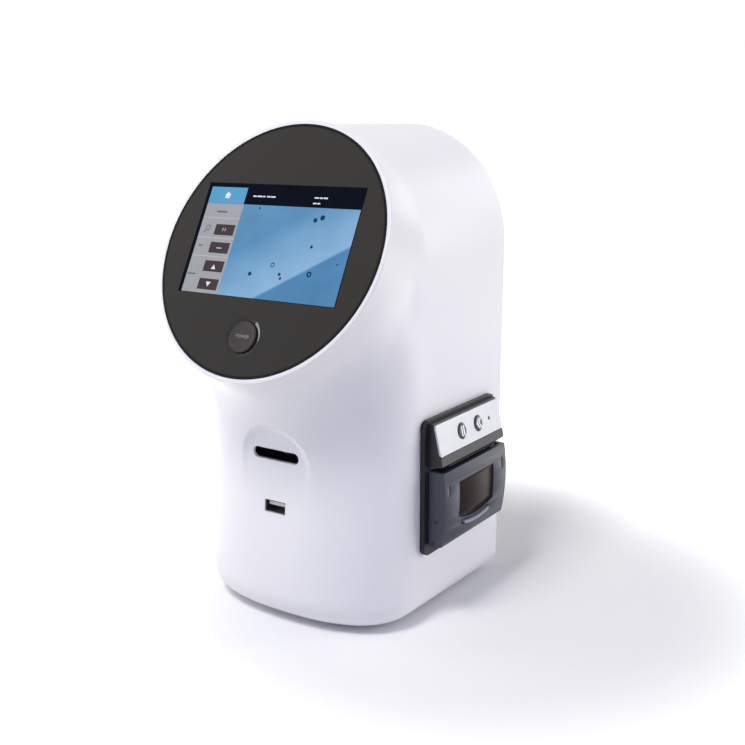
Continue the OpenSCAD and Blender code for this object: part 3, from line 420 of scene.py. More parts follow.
def carve(obj, tools, operation="DIFFERENCE"):
    """Cuts, joins or keeps the overlap of obj with each tool, and removes the tools."""
    for tool in tools:
        cut = obj.modifiers.new(operation, "BOOLEAN")
        cut.operation = operation
        cut.solver = "MANIFOLD"
        cut.object = tool
    applied = obj.evaluated_get(bpy.context.evaluated_depsgraph_get())
    mesh = bpy.data.meshes.new_from_object(applied)
    obj.modifiers.clear()
    obj.data = mesh
    for tool in tools:
        bpy.data.objects.remove(tool)
    return obj


# ---------------------------------------------------------------- housing

def skin(name, fan, round_it, gap, edge=0.0):
    """The housing's outer form, with a rounded rim round the face where edge is above 0."""
    turns = steps(round_it)
    centres, rays = fan_rays(np.append(steps(fan), math.radians(fan[-1][1])), turns)
    rings = list(cast(centres, rays, gap))
    if edge > 0:
        flat = np.stack(
            [np.cos(turns), np.sin(turns) * math.cos(FAN_END), np.sin(turns) * math.sin(FAN_END)], -1)
        for turn in np.radians(np.arange(0, 91, 15)):
            depth = edge * (1 - math.sin(turn))
            centre = (FACE_C - depth * FACE_OUT)[None, None, :]
            ring = cast(centre, flat[None], gap)[0]
            rings.append(ring - flat * edge * (1 - math.cos(turn)))
    return loft(name, rings)


def back_limit():
    """Everything in front of the back face and its rounded edge, which ends just off the skin."""
    r = BACK_ROUND
    profile = [
        (HALF_W - r * (1 - math.sin(a)) + BACK_CLEAR * a / (math.pi / 2), -r * (1 - math.cos(a)))
        for a in np.radians(np.arange(0, 91, 9))
    ]
    profile += [(HALF_W + 1, -r - 4), (HALF_W + 60, -r - 60), (HALF_W + 60, -300)]
    rings = []
    for half, depth in profile:
        outline = arched(half, -PAST, COVER_RISE, 160)
        rings.append(placed(np.column_stack([outline, np.full(len(outline), depth)]), ON_BACK))
    return loft("back_limit", rings[::-1])


def slot_outline(inset):
    """Round-ended outline of the slide slot."""
    r = SLOT_H / 2 - inset
    middle = (SLOT_W - SLOT_H) / 2
    right, left = circle(r, middle, SLOT_Z, 32), circle(r, -middle, SLOT_Z, 32)
    return np.vstack([right[24:], right[:9], left[8:25]])


def base_outline(grow):
    return rect(-BASE_W / 2 - grow, BASE_FRONT - grow, BASE_W / 2 + grow, BASE_BACK + grow,
                BASE_CORNER + grow)


def cover_outline(grow):
    return arched(COVER_R + grow, COVER_FOOT - grow, COVER_RISE)


def hollow():
    """The space inside the walls, less the floor and the ledge that carries the rear cover."""
    space = skin("hollow", HOLLOW_FAN, HOLLOW_TURNS, lambda p: skin_gap(p, WALL))
    ledge = prism("ledge", cover_outline(LEDGE_LAP), -COVER_T - LEDGE_T, -COVER_T, ON_BACK)
    carve(ledge, [prism("ledge_hole", cover_outline(-COVER_LEDGE), -PAST, PAST, ON_BACK)])
    recess = arched(RECESS_W / 2 + WALL, -WIDE, 0, 48) + (0, RECESS_TOP - RECESS_W / 2)
    solids = [
        prism("back_slab", rect(-WIDE, -WIDE, WIDE, WIDE), -WALL, PAST, ON_BACK),
        prism("floor_slab", rect(-WIDE, -WIDE, WIDE, WIDE), 0, FOOT_H + FLOOR_T, ON_PLAN),
        prism("recess_wall", recess, *RECESS_WALL, ON_FRONT),
        ledge,
    ]
    for a in CARRIER_ANGLES:
        u = CARRIER_SCREW_R * math.cos(math.radians(a))
        v = CARRIER_SCREW_R * math.sin(math.radians(a))
        solids.append(prism("boss", circle(BOSS_R, u, v, 32), CARRIER_BACK - BOSS_LONG, CARRIER_BACK,
                            ON_FACE))
    return carve(space, solids)


def housing():
    """The moulded shell, at a finer step than the CAD model's, with smooth normals."""
    shell = skin("housing", SKIN_FAN, SKIN_TURNS, outer_gap, RIM_EDGE)
    carve(shell, [back_limit()], "INTERSECT")
    port_w, port_h = USB_W / 2 + SEAT_GAP, USB_H / 2 + SEAT_GAP
    case = CASE_U + RUN_GAP
    flange_u, flange_v = FLANGE[0] / 2 + SEAT_GAP, FLANGE[1] / 2 + SEAT_GAP
    cuts = [
        hollow(),
        prism("base_seat", base_outline(0), FOOT_H - 1, FOOT_H + BASE_T, ON_PLAN),
        prism("base_opening", base_outline(-BASE_LIP), FOOT_H, FOOT_H + FLOOR_T + 1, ON_PLAN),
        prism("cover_seat", cover_outline(0), -COVER_T, PAST, ON_BACK),
        prism("cover_opening", cover_outline(-COVER_LEDGE), -CUT, CUT, ON_BACK),
        prism("glass_opening", circle(GLASS_R - GLASS_LEDGE, n=128), -CUT, CUT, ON_FACE),
        prism("glass_seat", circle(GLASS_R + SEAT_GAP, n=160), -GLASS_T, PAST, ON_FACE),
        prism("slot", slot_outline(0), -FRONT_Y - SLOT_DEEP, -FRONT_Y + PAST, ON_FRONT),
        prism("port", rect(-port_w, USB_Z - port_h, port_w, USB_Z + port_h),
              -FRONT_Y - USB_DEEP, -FRONT_Y + PAST, ON_FRONT),
        prism("case_opening", rect(-case, -case, case, case), -CASE_DEEP, CASE_DEEP, ON_SIDE),
        prism("flange_seat", rect(-flange_u, -flange_v, flange_u, flange_v, FLANGE_CORNER),
              0, CUT, ON_SIDE),
    ]
    carve(shell, cuts)
    smooth_skin(shell)
    return shell


def smooth_skin(shell):
    """Gives the skin the normals of its exact form, and leaves real edges sharp."""
    mesh = shell.data
    mesh.shade_smooth()
    mesh.set_sharp_from_angle(angle=SHARP)
    corners = np.empty((len(mesh.loops), 3))
    mesh.corner_normals.foreach_get("vector", corners.ravel())
    points = np.empty((len(mesh.vertices), 3))
    mesh.vertices.foreach_get("co", points.ravel())
    vertex = np.empty(len(mesh.loops), int)
    mesh.loops.foreach_get("vertex_index", vertex)
    face = np.empty((len(mesh.polygons), 3))
    mesh.polygons.foreach_get("normal", face.ravel())
    count = np.empty(len(mesh.polygons), int)
    mesh.polygons.foreach_get("loop_total", count)
    face = np.repeat(face, count, axis=0)
    points = points / MM
    exact = slope_of(outer_gap, points)[vertex]
    on_skin = (np.abs(outer_gap(points)) < ON_SKIN)[vertex]
    along = (exact * face).sum(-1) > ALONG_SKIN
    normals = np.where((on_skin & along)[:, None], exact, corners)
    mesh.normals_split_custom_set(normals.tolist())


# ---------------------------------------------------------------- finishes

GRAIN_DEPTH = 0.0002


def finish(name, colour, second=None, rough=(0.3, 0.4), scale=90.0, bump=0.0, bump_scale=600.0,
           metallic=0.0, coat=0.0, coat_rough=0.05, clear=0.0, glow=0.0, gloss=0.5):
    """A procedural finish: two close tones in a soft noise, an uneven sheen and a fine grain."""
    mat = bpy.data.materials.new(name)
    mat.use_nodes = True
    nodes, links = mat.node_tree.nodes, mat.node_tree.links
    shader = nodes["Principled BSDF"]
    place = nodes.new("ShaderNodeTexCoord")
    cloud = nodes.new("ShaderNodeTexNoise")
    cloud.inputs["Scale"].default_value = scale
    cloud.inputs["Detail"].default_value = 3
    links.new(place.outputs["Object"], cloud.inputs["Vector"])
    tone = nodes.new("ShaderNodeMix")
    tone.data_type = "RGBA"
    tone.inputs["A"].default_value = (*colour, 1)
    tone.inputs["B"].default_value = (*(second or tuple(c * 0.93 for c in colour)), 1)
    links.new(cloud.outputs["Fac"], tone.inputs["Factor"])
    links.new(tone.outputs["Result"], shader.inputs["Base Color"])
    sheen = nodes.new("ShaderNodeMapRange")
    sheen.inputs["To Min"].default_value = rough[0]
    sheen.inputs["To Max"].default_value = rough[1]
    links.new(cloud.outputs["Fac"], sheen.inputs["Value"])
    links.new(sheen.outputs["Result"], shader.inputs["Roughness"])
    if bump > 0:
        grain = nodes.new("ShaderNodeTexNoise")
        grain.inputs["Scale"].default_value = bump_scale
        links.new(place.outputs["Object"], grain.inputs["Vector"])
        relief = nodes.new("ShaderNodeBump")
        relief.inputs["Strength"].default_value = bump
        relief.inputs["Distance"].default_value = GRAIN_DEPTH
        links.new(grain.outputs["Fac"], relief.inputs["Height"])
        links.new(relief.outputs["Normal"], shader.inputs["Normal"])
    shader.inputs["Metallic"].default_value = metallic
    shader.inputs["Coat Weight"].default_value = coat
    shader.inputs["Coat Roughness"].default_value = coat_rough
    shader.inputs["Transmission Weight"].default_value = clear
    shader.inputs["Specular IOR Level"].default_value = gloss
    if glow > 0:
        links.new(tone.outputs["Result"], shader.inputs["Emission Color"])
        shader.inputs["Emission Strength"].default_value = glow
    return mat


FINISHES = {
    "white": finish("white_shell", (0.85, 0.847, 0.85), (0.825, 0.822, 0.83), rough=(0.30, 0.38),
                    scale=14, bump=0.02, bump_scale=900, coat=0.2, coat_rough=0.28),
    "smoked": finish("smoked_glass", (0.012, 0.0105, 0.009), (0.016, 0.014, 0.011),
                     rough=(0.05, 0.09), scale=9, gloss=0.36),
    "dark": finish("printer_dark", (0.012, 0.012, 0.014), (0.018, 0.018, 0.021),
                   rough=(0.34, 0.46), scale=60, bump=0.15, bump_scale=2200, gloss=0.3),
    "door": finish("door_dark", (0.036, 0.042, 0.060), (0.046, 0.053, 0.074),
                   rough=(0.30, 0.40), scale=40, bump=0.10, bump_scale=2200, gloss=0.3),
    # The latch's slate is lightened as a painted highlight of its lip catching the light
    "latch": finish("latch_slate_and_highlight", (0.26, 0.27, 0.34), (0.30, 0.31, 0.38), rough=(0.18, 0.26)),
    # Dark steel for the pins, and for the tear bar as painted shade of the dark gap it sits in
    "blacked_and_shade": finish("blacked_steel_and_shade", (0.025, 0.025, 0.027), (0.04, 0.04, 0.043),
                      rough=(0.3, 0.45), scale=300, metallic=0.6),
    "silver": finish("panel_silver", (0.42, 0.435, 0.465), (0.47, 0.485, 0.515),
                     rough=(0.36, 0.48), scale=160, metallic=0.35, bump=0.05, bump_scale=2600),
    "key": finish("key_black", (0.014, 0.015, 0.018), (0.022, 0.023, 0.027),
                  rough=(0.25, 0.35), scale=300),
    "steel": finish("steel", (0.66, 0.65, 0.62), (0.56, 0.55, 0.53), rough=(0.18, 0.32),
                    scale=220, metallic=1.0),
    "base": finish("base_plastic", (0.45, 0.46, 0.48), (0.40, 0.41, 0.43), bump=0.2),
    "rubber": finish("foot_rubber", (0.03, 0.03, 0.032), (0.045, 0.045, 0.047),
                     rough=(0.6, 0.8), bump=0.3),
    "lcd": finish("lcd", (0.05, 0.07, 0.10), (0.08, 0.10, 0.14), rough=(0.2, 0.3)),
    "plastic": finish("dark_plastic", (0.035, 0.035, 0.038), (0.05, 0.05, 0.054),
                      rough=(0.4, 0.55), bump=0.2),
    "button": finish("button_black", (0.022, 0.020, 0.018), (0.028, 0.026, 0.023),
                     rough=(0.45, 0.55), scale=120, gloss=0.3),
    "board": finish("circuit_board", (0.012, 0.10, 0.045), (0.02, 0.14, 0.06),
                    rough=(0.3, 0.45), scale=400, bump=0.3),
    # The port's steel shell is darkened: partly its own dark grey, partly painted shade of the port's
    # inside
    "port_steel_and_shade": finish("port_steel_and_shade", (0.13, 0.115, 0.11), (0.17, 0.15, 0.145),
                         rough=(0.25, 0.4), scale=500, metallic=0.9),
    "port_plastic": finish("port_plastic", (0.74, 0.73, 0.70), (0.66, 0.65, 0.62),
                           rough=(0.35, 0.5), scale=300),
    "alloy": finish("frame_alloy", (0.50, 0.51, 0.53), (0.58, 0.59, 0.61), rough=(0.3, 0.45),
                    metallic=0.9, bump=0.1),
    "lens": finish("lens_glass", (0.75, 0.85, 0.95), (0.70, 0.82, 0.94), rough=(0.02, 0.05),
                   clear=0.9),
    "barrel": finish("barrel_black", (0.02, 0.02, 0.022), (0.03, 0.03, 0.033), rough=(0.3, 0.45)),
    "brass": finish("brass", (0.72, 0.52, 0.22), (0.62, 0.44, 0.18), rough=(0.2, 0.35),
                    metallic=1.0, scale=300),
    "paper": finish("paper", (0.82, 0.82, 0.80), (0.76, 0.76, 0.74), rough=(0.7, 0.85),
                    scale=400, bump=0.2),
    "ceramic": finish("head_ceramic", (0.50, 0.48, 0.44), (0.56, 0.54, 0.50), rough=(0.3, 0.5)),
    "lamp": finish("lamp_green", (0.010, 0.012, 0.010), (0.02, 0.03, 0.02), rough=(0.1, 0.2)),
    "window": finish("smoked_window", (0.014, 0.007, 0.006), (0.022, 0.011, 0.008),
                     rough=(0.2, 0.3), scale=50, gloss=0.06),
    "gear": finish("gear_plastic", (0.70, 0.68, 0.60), (0.62, 0.60, 0.53), rough=(0.35, 0.5),
                   scale=300),
}

# The CAD nodes that each finish is for
WORN_BY = {
    "white": ("rear_cover",),
    "smoked": ("cover_glass",),
    "dark": ("printer_bezel", "printer_case"),
    "door": ("printer_door",),
    "latch": ("door_latch",),
    "blacked_and_shade": ("tear_bar", "latch_pin", "hinge_pins"),
    "silver": ("control_panel",),
    "key": ("pause_button", "feed_button"),
    "steel": ("base_screws", "rear_screws", "carrier_screws", "guide_rods", "board_screws"),
    "base": ("base_plate",),
    "rubber": ("rubber_feet", "platen_roller"),
    "lcd": ("display_module",),
    "plastic": ("display_carrier", "slide_guide"),
    "button": ("power_button",),
    "board": ("switch_board", "usb_board", "lamp_board", "main_board", "key_board"),
    "port_steel_and_shade": ("usb_shell",),
    "port_plastic": ("usb_tongue",),
    "alloy": ("optics_frame", "focus_carriage", "printer_motor"),
    "lens": ("condenser_lens",),
    "barrel": ("lamp_housing", "objective", "camera", "focus_motor", "power_inlet"),
    "brass": ("lead_screw", "motor_pinion"),
    "paper": ("paper_roll",),
    "ceramic": ("print_head",),
    "lamp": ("status_lamp",),
    "window": ("door_window",),
    "gear": ("drive_gear", "platen_gear"),
}

# The rounds on the edges of the larger mouldings, in metres
SMALL_EDGE = 0.0003
DOOR_EDGE = 0.0007
EDGES = dict.fromkeys(("printer_bezel", "control_panel", "door_latch", "printer_case", "base_plate",
                       "usb_shell", "optics_frame", "door_window"), SMALL_EDGE)
EDGES["printer_door"] = DOOR_EDGE
EDGE_ANGLE = math.radians(35)
WELD_REACH = 0.000002


def dress_frame():
    """Finishes on the CAD nodes, and a small round on the edges of the larger mouldings."""
    for mat, names in WORN_BY.items():
        for name in names:
            dress(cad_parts[name], FINISHES[mat])
    for name, width in EDGES.items():
        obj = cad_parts[name]
        weld = obj.modifiers.new("weld", "WELD")
        weld.merge_threshold = WELD_REACH
        edge = obj.modifiers.new("edge", "BEVEL")
        edge.width = width
        edge.segments = 2
        edge.limit_method = "ANGLE"
        edge.angle_limit = EDGE_ANGLE
        edge.harden_normals = True


# ---------------------------------------------------------------- printed and lit details, and painted shade at the glass's edge and in the slot

# Layout of the display, in the frame of the face. FIELD_LINE runs along the pale band's edge.
WINDOW = (-55.4, -29.1, 53.8, 37.1)
MARGIN = 2.6
SIDE_R = -25.9
HEAD_V = 24.6
ROW_V = (15.6, 3.6, -7.4)
KEYS = ((-41.6, 5.6), (-41.6, -5.1), (-41.6, -16.1), (-41.9, -26.7))
KEY_SIZE = (14.2, 6.4)
HOUSE = ((-41.0, 27.8), (-37.8, 27.8), (-37.8, 29.7), (-37.1, 29.7), (-39.4, 31.7),
         (-41.7, 29.7), (-41.0, 29.7))
ARROW_UP = ((-36.1, -14.6), (-32.7, -14.6), (-34.4, -11.9))
ARROW_DOWN = ((-36.5, -22.1), (-34.8, -25.0), (-33.1, -22.1))
BARS = ((-35.9, 8.1, -35.5, 9.9), (-34.2, 8.1, -33.8, 9.9), (-36.4, -2.3, -32.8, -1.9))
NOTES = ((-44.0, 19.0, -36.5, 20.0), (-50.2, -1.6, -47.2, -0.8), (-52.0, -18.6, -46.0, -17.8))
LOUPE = (-47.0, 9.6, 1.2, 1.7)
LOUPE_GRIP = ((-48.2, 8.4), (-49.8, 6.9), (-49.4, 6.5), (-47.8, 8.0))
FIELD_LINE = (-0.8, -28.0, 53.4, 5.2)
FIELD_SPAN = (-0.04, 0.06)
FIELD_STOPS = (
    (0.0, (0.085, 0.23, 0.42)), (0.385, (0.075, 0.215, 0.40)), (0.40, (0.25, 0.43, 0.64)),
    (0.50, (0.22, 0.40, 0.61)), (0.72, (0.10, 0.26, 0.45)), (1.0, (0.12, 0.28, 0.47)),
)

# Cells as (u, v, radius), ringed cells as (u, v, inner radius, outer radius), and the heading's
# dashes as (left, v, runs of (length, gap))
CELLS = ((26.2, 17.5, 1.1), (30.5, 19.1, 1.5), (28.6, 2.5, 0.9), (-7.4, -15.2, 1.2),
         (12.6, -14.1, 0.9), (13.9, -16.3, 0.8), (-13.9, 22.8, 0.6), (48.0, -6.0, 0.5))
CELL_RINGS = ((6.4, -9.2, 0.9, 1.4), (32.0, -12.6, 0.7, 1.6), (26.2, 17.5, 0.7, 1.3))
HEAD_LINES = (
    (-21.0, 29.3, ((2.6, 0.5), (3.4, 0.5), (1.6, 1.2), (2.4, 0.5), (3.2, 0))),
    (21.5, 29.8, ((3.0, 0.5), (2.2, 0.5), (2.6, 0))),
    (21.5, 26.6, ((2.4, 0.5), (1.8, 0))),
)
DASH_H = 0.8
# The dark ring at the glass's edge is painted shade of the glass's side edge in its seat
BORDER_W = 1.5
BORDER_GAP = 0.05
BORDER_T = 0.05
WORD_SIZE = 2.7
WORD_T = 0.04
CHEVRON = ((-1.4, 0), (0.9, 3.0), (2.0, 3.0), (-0.3, 0), (2.0, -3.0), (0.9, -3.0))

# Heights of the printed layers over the glass's face
LOW, GLAZE, INK, TOP = -0.2, 0.06, 0.10, 0.13
OVER = 0.03


def plates(name, parts, place, mat, body):
    """Thin plates in one piece. Each part is (outline, low, high) in a local frame."""
    points, faces = [], []
    for outline, low, high in parts:
        start = sum(len(p) for p in points)
        rings = prism_rings(outline, low, high)
        points.extend(placed(ring, place) for ring in rings)
        faces.extend(loft_faces(2, len(outline), start))
    obj = build(name, np.vstack(points), faces)
    dress(obj, mat)
    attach(obj, body)


def ring_parts(r_in, r_out, u, v, low, high, n=24):
    """A flat ring as a run of short plates."""
    t = np.arange(n + 1) * 2 * math.pi / n
    parts = []
    for a, b in zip(t[:-1], t[1:]):
        quad = ((r_in, a), (r_out, a), (r_out, b), (r_in, b))
        outline = [(u + r * math.cos(q), v + r * math.sin(q)) for r, q in quad]
        parts.append((np.array(outline), low, high))
    return parts


def emitting(name, colour, second):
    """A part of the lit display."""
    return finish(name, colour, second, rough=(0.05, 0.08), scale=60, glow=0.85, gloss=0.0)


def field_finish():
    """The picture of the counted field: a pale sloping band over a darker corner."""
    mat = finish("display_field", (0.01, 0.02, 0.04), rough=(0.05, 0.08), gloss=0.0)
    nodes, links = mat.node_tree.nodes, mat.node_tree.links
    shader = nodes["Principled BSDF"]
    place = nodes.new("ShaderNodeTexCoord")
    u0, v0, u1, v1 = FIELD_LINE
    slant = math.atan2(v1 - v0, u1 - u0)
    shift = nodes.new("ShaderNodeVectorMath")
    shift.operation = "SUBTRACT"
    shift.inputs[1].default_value = placed([[u0, v0, 0]], ON_FACE)[0] * MM
    links.new(place.outputs["Object"], shift.inputs[0])
    dot = nodes.new("ShaderNodeVectorMath")
    dot.operation = "DOT_PRODUCT"
    dot.inputs[1].default_value = ON_FACE[0].col[1] * math.cos(slant) - ON_FACE[0].col[0] * math.sin(slant)
    links.new(shift.outputs["Vector"], dot.inputs[0])
    span = nodes.new("ShaderNodeMapRange")
    span.inputs["From Min"].default_value, span.inputs["From Max"].default_value = FIELD_SPAN
    links.new(dot.outputs["Value"], span.inputs["Value"])
    ramp = nodes.new("ShaderNodeValToRGB")
    stops = ramp.color_ramp.elements
    for at, _ in FIELD_STOPS[1:-1]:
        stops.new(at)
    for stop, (at, colour) in zip(stops, FIELD_STOPS):
        stop.position, stop.color = at, (*colour, 1)
    links.new(span.outputs["Result"], ramp.inputs["Fac"])
    cloud = nodes.new("ShaderNodeTexNoise")
    cloud.inputs["Scale"].default_value = 45
    links.new(place.outputs["Object"], cloud.inputs["Vector"])
    grey = nodes.new("ShaderNodeRGBToBW")
    links.new(cloud.outputs["Color"], grey.inputs["Color"])
    tone = nodes.new("ShaderNodeMix")
    tone.data_type = "RGBA"
    tone.blend_type = "OVERLAY"
    tone.inputs["Factor"].default_value = 0.25
    links.new(ramp.outputs["Color"], tone.inputs["A"])
    links.new(grey.outputs["Val"], tone.inputs["B"])
    links.new(tone.outputs["Result"], shader.inputs["Emission Color"])
    shader.inputs["Emission Strength"].default_value = 1.0
    return mat


def display():
    """The lit picture seen through the glass, as thin fields of colour."""
    def lit(name, parts, mat):
        plates(name, parts, ON_FACE, mat, "base")

    u0, v0, u1, v1 = WINDOW
    left, foot = u0 + MARGIN, v0 + 0.3
    black = emitting("display_black", (0.002, 0.003, 0.006), (0.004, 0.005, 0.009))
    lit("display_ground", [(rect(u0, v0, u1, v1, 0.4), LOW, GLAZE)], black)
    lit("display_field", [(rect(SIDE_R, foot, u1 - 0.5, HEAD_V), LOW, INK)], field_finish())
    tile = emitting("display_tile", (0.048, 0.17, 0.28), (0.070, 0.21, 0.34))
    lit("display_tile", [(rect(left, HEAD_V, SIDE_R - 0.4, v1 - MARGIN), LOW, INK)], tile)
    panel = emitting("display_panel", (0.18, 0.185, 0.19), (0.22, 0.225, 0.235))
    lit("display_panel", [(rect(left, foot, SIDE_R, HEAD_V - 0.1), LOW, INK)], panel)
    line = emitting("display_line", (0.30, 0.31, 0.32), (0.34, 0.35, 0.36))
    lit("display_lines", [(rect(left, v, SIDE_R, v + 0.25), INK, TOP) for v in ROW_V], line)
    dark = emitting("display_key", (0.030, 0.024, 0.026), (0.042, 0.034, 0.036))
    keys = [(rect(u, v, u + KEY_SIZE[0], v + KEY_SIZE[1]), INK, TOP) for u, v in KEYS]
    lit("display_keys", keys, dark)
    pale = emitting("display_pale", (0.36, 0.38, 0.40), (0.46, 0.48, 0.50))
    marks = [(np.array(HOUSE), INK, TOP + OVER)]
    marks += [(np.array(arrow), TOP, TOP + OVER) for arrow in (ARROW_UP, ARROW_DOWN)]
    marks += [(rect(*bar), TOP, TOP + OVER) for bar in BARS]
    for at, v, runs in HEAD_LINES:
        for run, gap in runs:
            marks.append((rect(at, v, at + run, v + DASH_H), GLAZE, INK))
            at += run + gap
    lit("display_marks", marks, pale)
    grey = emitting("display_grey", (0.07, 0.075, 0.08), (0.09, 0.095, 0.10))
    notes = [(rect(*note), INK, TOP) for note in NOTES]
    notes += ring_parts(LOUPE[2], LOUPE[3], LOUPE[0], LOUPE[1], INK, TOP)
    notes.append((np.array(LOUPE_GRIP), INK, TOP))
    lit("display_notes", notes, grey)
    ink_and_shade = emitting("display_cells", (0.006, 0.02, 0.05), (0.012, 0.03, 0.07))
    cells = [(circle(r, u, v, 24), INK, TOP) for u, v, r in CELLS]
    for u, v, r_in, r_out in CELL_RINGS:
        cells += ring_parts(r_in, r_out, u, v, INK, TOP + 0.01)
    lit("display_cells", cells, ink_and_shade)


def glass_edge():
    """A dark ring at the edge of the cover glass: painted shade of the glass's side edge in its seat."""
    ink_and_shade = finish("glass_edge_shade", (0.004, 0.004, 0.004), (0.007, 0.006, 0.006), rough=(0.4, 0.5), gloss=0.1)
    border = ring_parts(GLASS_R - BORDER_W, GLASS_R - BORDER_GAP, 0, 0, LOW, BORDER_T, 96)
    plates("glass_border", border, ON_FACE, ink_and_shade, "base")


def slot_shade_sleeve():
    """A black sleeve from just behind the front that lines the slot: painted shade of the slot's inside.
    """
    ink_and_shade = finish("slot_painted_shade", (0.004, 0.003, 0.003), (0.007, 0.006, 0.006), rough=(0.5, 0.6), gloss=0.1)
    mouth = -front_at(SLOT_Z) - SLEEVE_BACK
    sleeve = prism("slot_shade_sleeve", slot_outline(SLEEVE_GAP), mouth - SLEEVE_DEEP, mouth, ON_FRONT)
    bore = slot_outline(SLEEVE_GAP + SLEEVE_T)
    carve(sleeve, [prism("sleeve_bore", bore, mouth - PAST, mouth + PAST, ON_FRONT)])
    dress(sleeve, ink_and_shade)
    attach(sleeve, "base")


def power_word():
    """The word on the power button, laid flat on its cap."""
    mark = finish("power_mark", (0.30, 0.30, 0.30), (0.26, 0.26, 0.26), rough=(0.3, 0.4), scale=400)
    curve = bpy.data.curves.new("power_word", "FONT")
    curve.body = "POWER"
    curve.size = WORD_SIZE * MM
    curve.extrude = WORD_T * MM
    curve.align_x = "CENTER"
    curve.align_y = "CENTER"
    holder = show("power_word", curve)
    mesh = bpy.data.meshes.new_from_object(holder.evaluated_get(bpy.context.evaluated_depsgraph_get()))
    bpy.data.objects.remove(holder)
    spot = placed([[0, -POWER_DROP, TOP]], ON_FACE)[0] * MM
    mesh.transform(Matrix.Translation(spot) @ ON_FACE[0].to_4x4())
    obj = show("power_word", mesh)
    dress(obj, mark)
    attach(obj, "power_button")


def key_symbols():
    """Pause bars and a double chevron on the printer's keys."""
    mark = finish("key_mark", (0.62, 0.64, 0.68), (0.54, 0.56, 0.60), rough=(0.3, 0.4), scale=500,
                  metallic=0.4)
    low, high = KEY_TOP - 0.05, KEY_TOP + 0.08
    u = KEY_U[0]
    bars = [(rect(u + s - 0.5, -3.0, u + s + 0.5, 3.0, 0.25, 3), low, high) for s in (-1.1, 1.1)]
    plates("pause_mark", bars, ON_PANEL, mark, "pause_button")
    marks = [(np.array(CHEVRON) + (KEY_U[1] + s, 0), low, high) for s in (-1.3, 0.8)]
    plates("feed_mark", marks, ON_PANEL, mark, "feed_button")


# ---------------------------------------------------------------- the set

CAMERA_AT = (0.36919, -0.50908, 0.28398)
CAMERA_AZIMUTH = 34.36
CAMERA_HEIGHT = 13.05
CAMERA_ROLL = -0.34
CAMERA_LENS = 51.45
CAMERA_SENSOR = 36.0
CAMERA_SHIFT = (0.0024, -0.0043)

# The room's light fades from ROOM_FAR to ROOM_NEAR towards the viewer's side
VIEWER_SIDE = math.radians(42)
ROOM_FAR = (0.33, 0.328, 0.328)
ROOM_NEAR = (0.12, 0.135, 0.40)
ROOM_FADE = 0.85

# Lamps in metres and watts: name, place, target, size, power, colour
LAMPS = (
    ("key", (0.0, -0.85, 1.5), (0, 0, 0.12), (0.45, 0.45), 15.5, (1, 0.99, 0.965)),
    ("left", (-1.5, -0.5, 0.3), (0, 0, 0.15), (0.7, 0.7), 8.5, (1, 0.99, 0.97)),
    ("right", (1.15, 0.95, 0.33), (0.05, 0, 0.22), (0.7, 0.5), 8.5, (1, 0.98, 0.92)),
    ("back", (0.44, 1.25, 0.66), (0.05, 0, 0.22), (0.75, 0.5), 1.8, (1, 0.98, 0.92)),
)

# The floor glows white for seen rays, from FLOOR_NEAR to FLOOR_FAR metres from SHADOW_MIDDLE
FLOOR_HALF = 4000.0
SHADOW_MIDDLE = (0.07, 0.03, 0)
FLOOR_GLOW = 0.02
FLOOR_NEAR = 0.12
FLOOR_FAR = 0.31


def camera():
    """The camera of the photograph."""
    data = bpy.data.cameras.new("camera")
    data.lens = CAMERA_LENS
    data.sensor_width = CAMERA_SENSOR
    data.shift_x, data.shift_y = CAMERA_SHIFT
    obj = show("camera", data)
    turn = turned(x=90 - CAMERA_HEIGHT, z=CAMERA_AZIMUTH) @ turned(z=CAMERA_ROLL)
    obj.matrix_world = Matrix.Translation(CAMERA_AT) @ turn.to_4x4()
    bpy.context.scene.camera = obj


def seen_share(nodes, links):
    """1 for rays from the camera, reflections and glass, and 0 for light on the object."""
    path = nodes.new("ShaderNodeLightPath")
    share = path.outputs["Is Camera Ray"]
    for ray in ("Is Glossy Ray", "Is Transmission Ray"):
        add = nodes.new("ShaderNodeMath")
        add.operation = "ADD"
        add.use_clamp = True
        links.new(share, add.inputs[0])
        links.new(path.outputs[ray], add.inputs[1])
        share = add.outputs[0]
    return share


def studio():
    """A white room whose light is dimmer and cooler from the viewer's side."""
    world = bpy.data.worlds.new("studio")
    bpy.context.scene.world = world
    world.use_nodes = True
    nodes, links = world.node_tree.nodes, world.node_tree.links
    ground = nodes["Background"]
    place = nodes.new("ShaderNodeTexCoord")
    facing = nodes.new("ShaderNodeVectorMath")
    facing.operation = "DOT_PRODUCT"
    facing.inputs[1].default_value = (math.sin(VIEWER_SIDE), -math.cos(VIEWER_SIDE), 0.0)
    links.new(place.outputs["Generated"], facing.inputs[0])
    span = nodes.new("ShaderNodeMapRange")
    span.interpolation_type = "SMOOTHSTEP"
    span.inputs["From Max"].default_value = ROOM_FADE
    links.new(facing.outputs["Value"], span.inputs["Value"])
    room = nodes.new("ShaderNodeMix")
    room.data_type = "RGBA"
    room.inputs["A"].default_value = (*ROOM_FAR, 1)
    room.inputs["B"].default_value = (*ROOM_NEAR, 1)
    links.new(span.outputs["Result"], room.inputs["Factor"])
    pick = nodes.new("ShaderNodeMix")
    pick.data_type = "RGBA"
    links.new(seen_share(nodes, links), pick.inputs["Factor"])
    links.new(room.outputs["Result"], pick.inputs["A"])
    pick.inputs["B"].default_value = (1, 1, 1, 1)
    links.new(pick.outputs["Result"], ground.inputs["Color"])


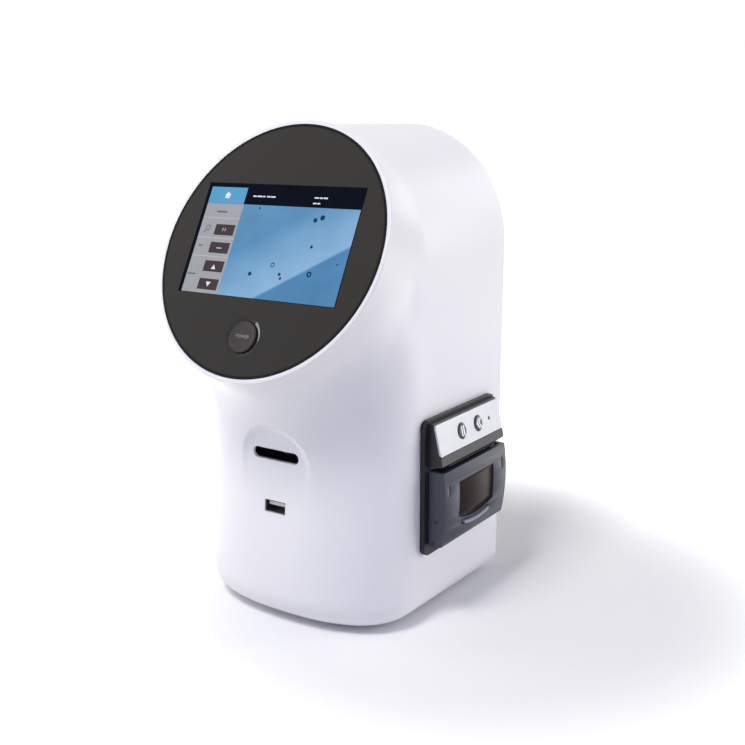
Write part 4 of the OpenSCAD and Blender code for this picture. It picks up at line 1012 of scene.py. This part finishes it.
def soft_lamp(name, at, target, size, power, colour):
    """A rectangular lamp that faces its target."""
    data = bpy.data.lights.new(name, "AREA")
    data.shape = "RECTANGLE"
    data.size, data.size_y = size
    data.energy = power
    data.color = colour
    obj = show(name, data)
    away = Vector(at) - Vector(target)
    obj.matrix_world = Matrix.Translation(at) @ away.to_track_quat("Z", "Y").to_matrix().to_4x4()


def floor():
    """A plain pale floor that keeps the shadow and is white beyond it."""
    e = FLOOR_HALF
    obj = build("floor", [(-e, -e, 0), (e, -e, 0), (e, e, 0), (-e, e, 0)], [(0, 1, 2, 3)])
    mat = finish("floor", (0.91, 0.91, 0.908), (0.90, 0.90, 0.90), rough=(0.7, 0.8), scale=3,
                 gloss=0.0)
    nodes, links = mat.node_tree.nodes, mat.node_tree.links
    place = nodes.new("ShaderNodeTexCoord")
    reach = nodes.new("ShaderNodeVectorMath")
    reach.operation = "DISTANCE"
    reach.inputs[1].default_value = SHADOW_MIDDLE
    links.new(place.outputs["Object"], reach.inputs[0])
    far = nodes.new("ShaderNodeMapRange")
    far.interpolation_type = "SMOOTHSTEP"
    far.inputs["From Min"].default_value = FLOOR_NEAR
    far.inputs["From Max"].default_value = FLOOR_FAR
    far.inputs["To Min"].default_value = FLOOR_GLOW
    far.inputs["To Max"].default_value = 1.0
    links.new(reach.outputs["Value"], far.inputs["Value"])
    scale = nodes.new("ShaderNodeMath")
    scale.operation = "MULTIPLY"
    links.new(seen_share(nodes, links), scale.inputs[0])
    links.new(far.outputs["Result"], scale.inputs[1])
    glow = nodes.new("ShaderNodeEmission")
    links.new(scale.outputs[0], glow.inputs["Strength"])
    add = nodes.new("ShaderNodeAddShader")
    links.new(nodes["Principled BSDF"].outputs[0], add.inputs[0])
    links.new(glow.outputs[0], add.inputs[1])
    links.new(add.outputs[0], nodes["Material Output"].inputs["Surface"])
    dress(obj, mat)


shell = housing()
dress(shell, FINISHES["white"])
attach(shell, "base")
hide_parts("main_housing")
dress_frame()
display()
power_word()
key_symbols()
glass_edge()
slot_shade_sleeve()
floor()
studio()
camera()
for lamp in LAMPS:
    soft_lamp(*lamp)
bpy.context.scene.view_settings.view_transform = "Standard"
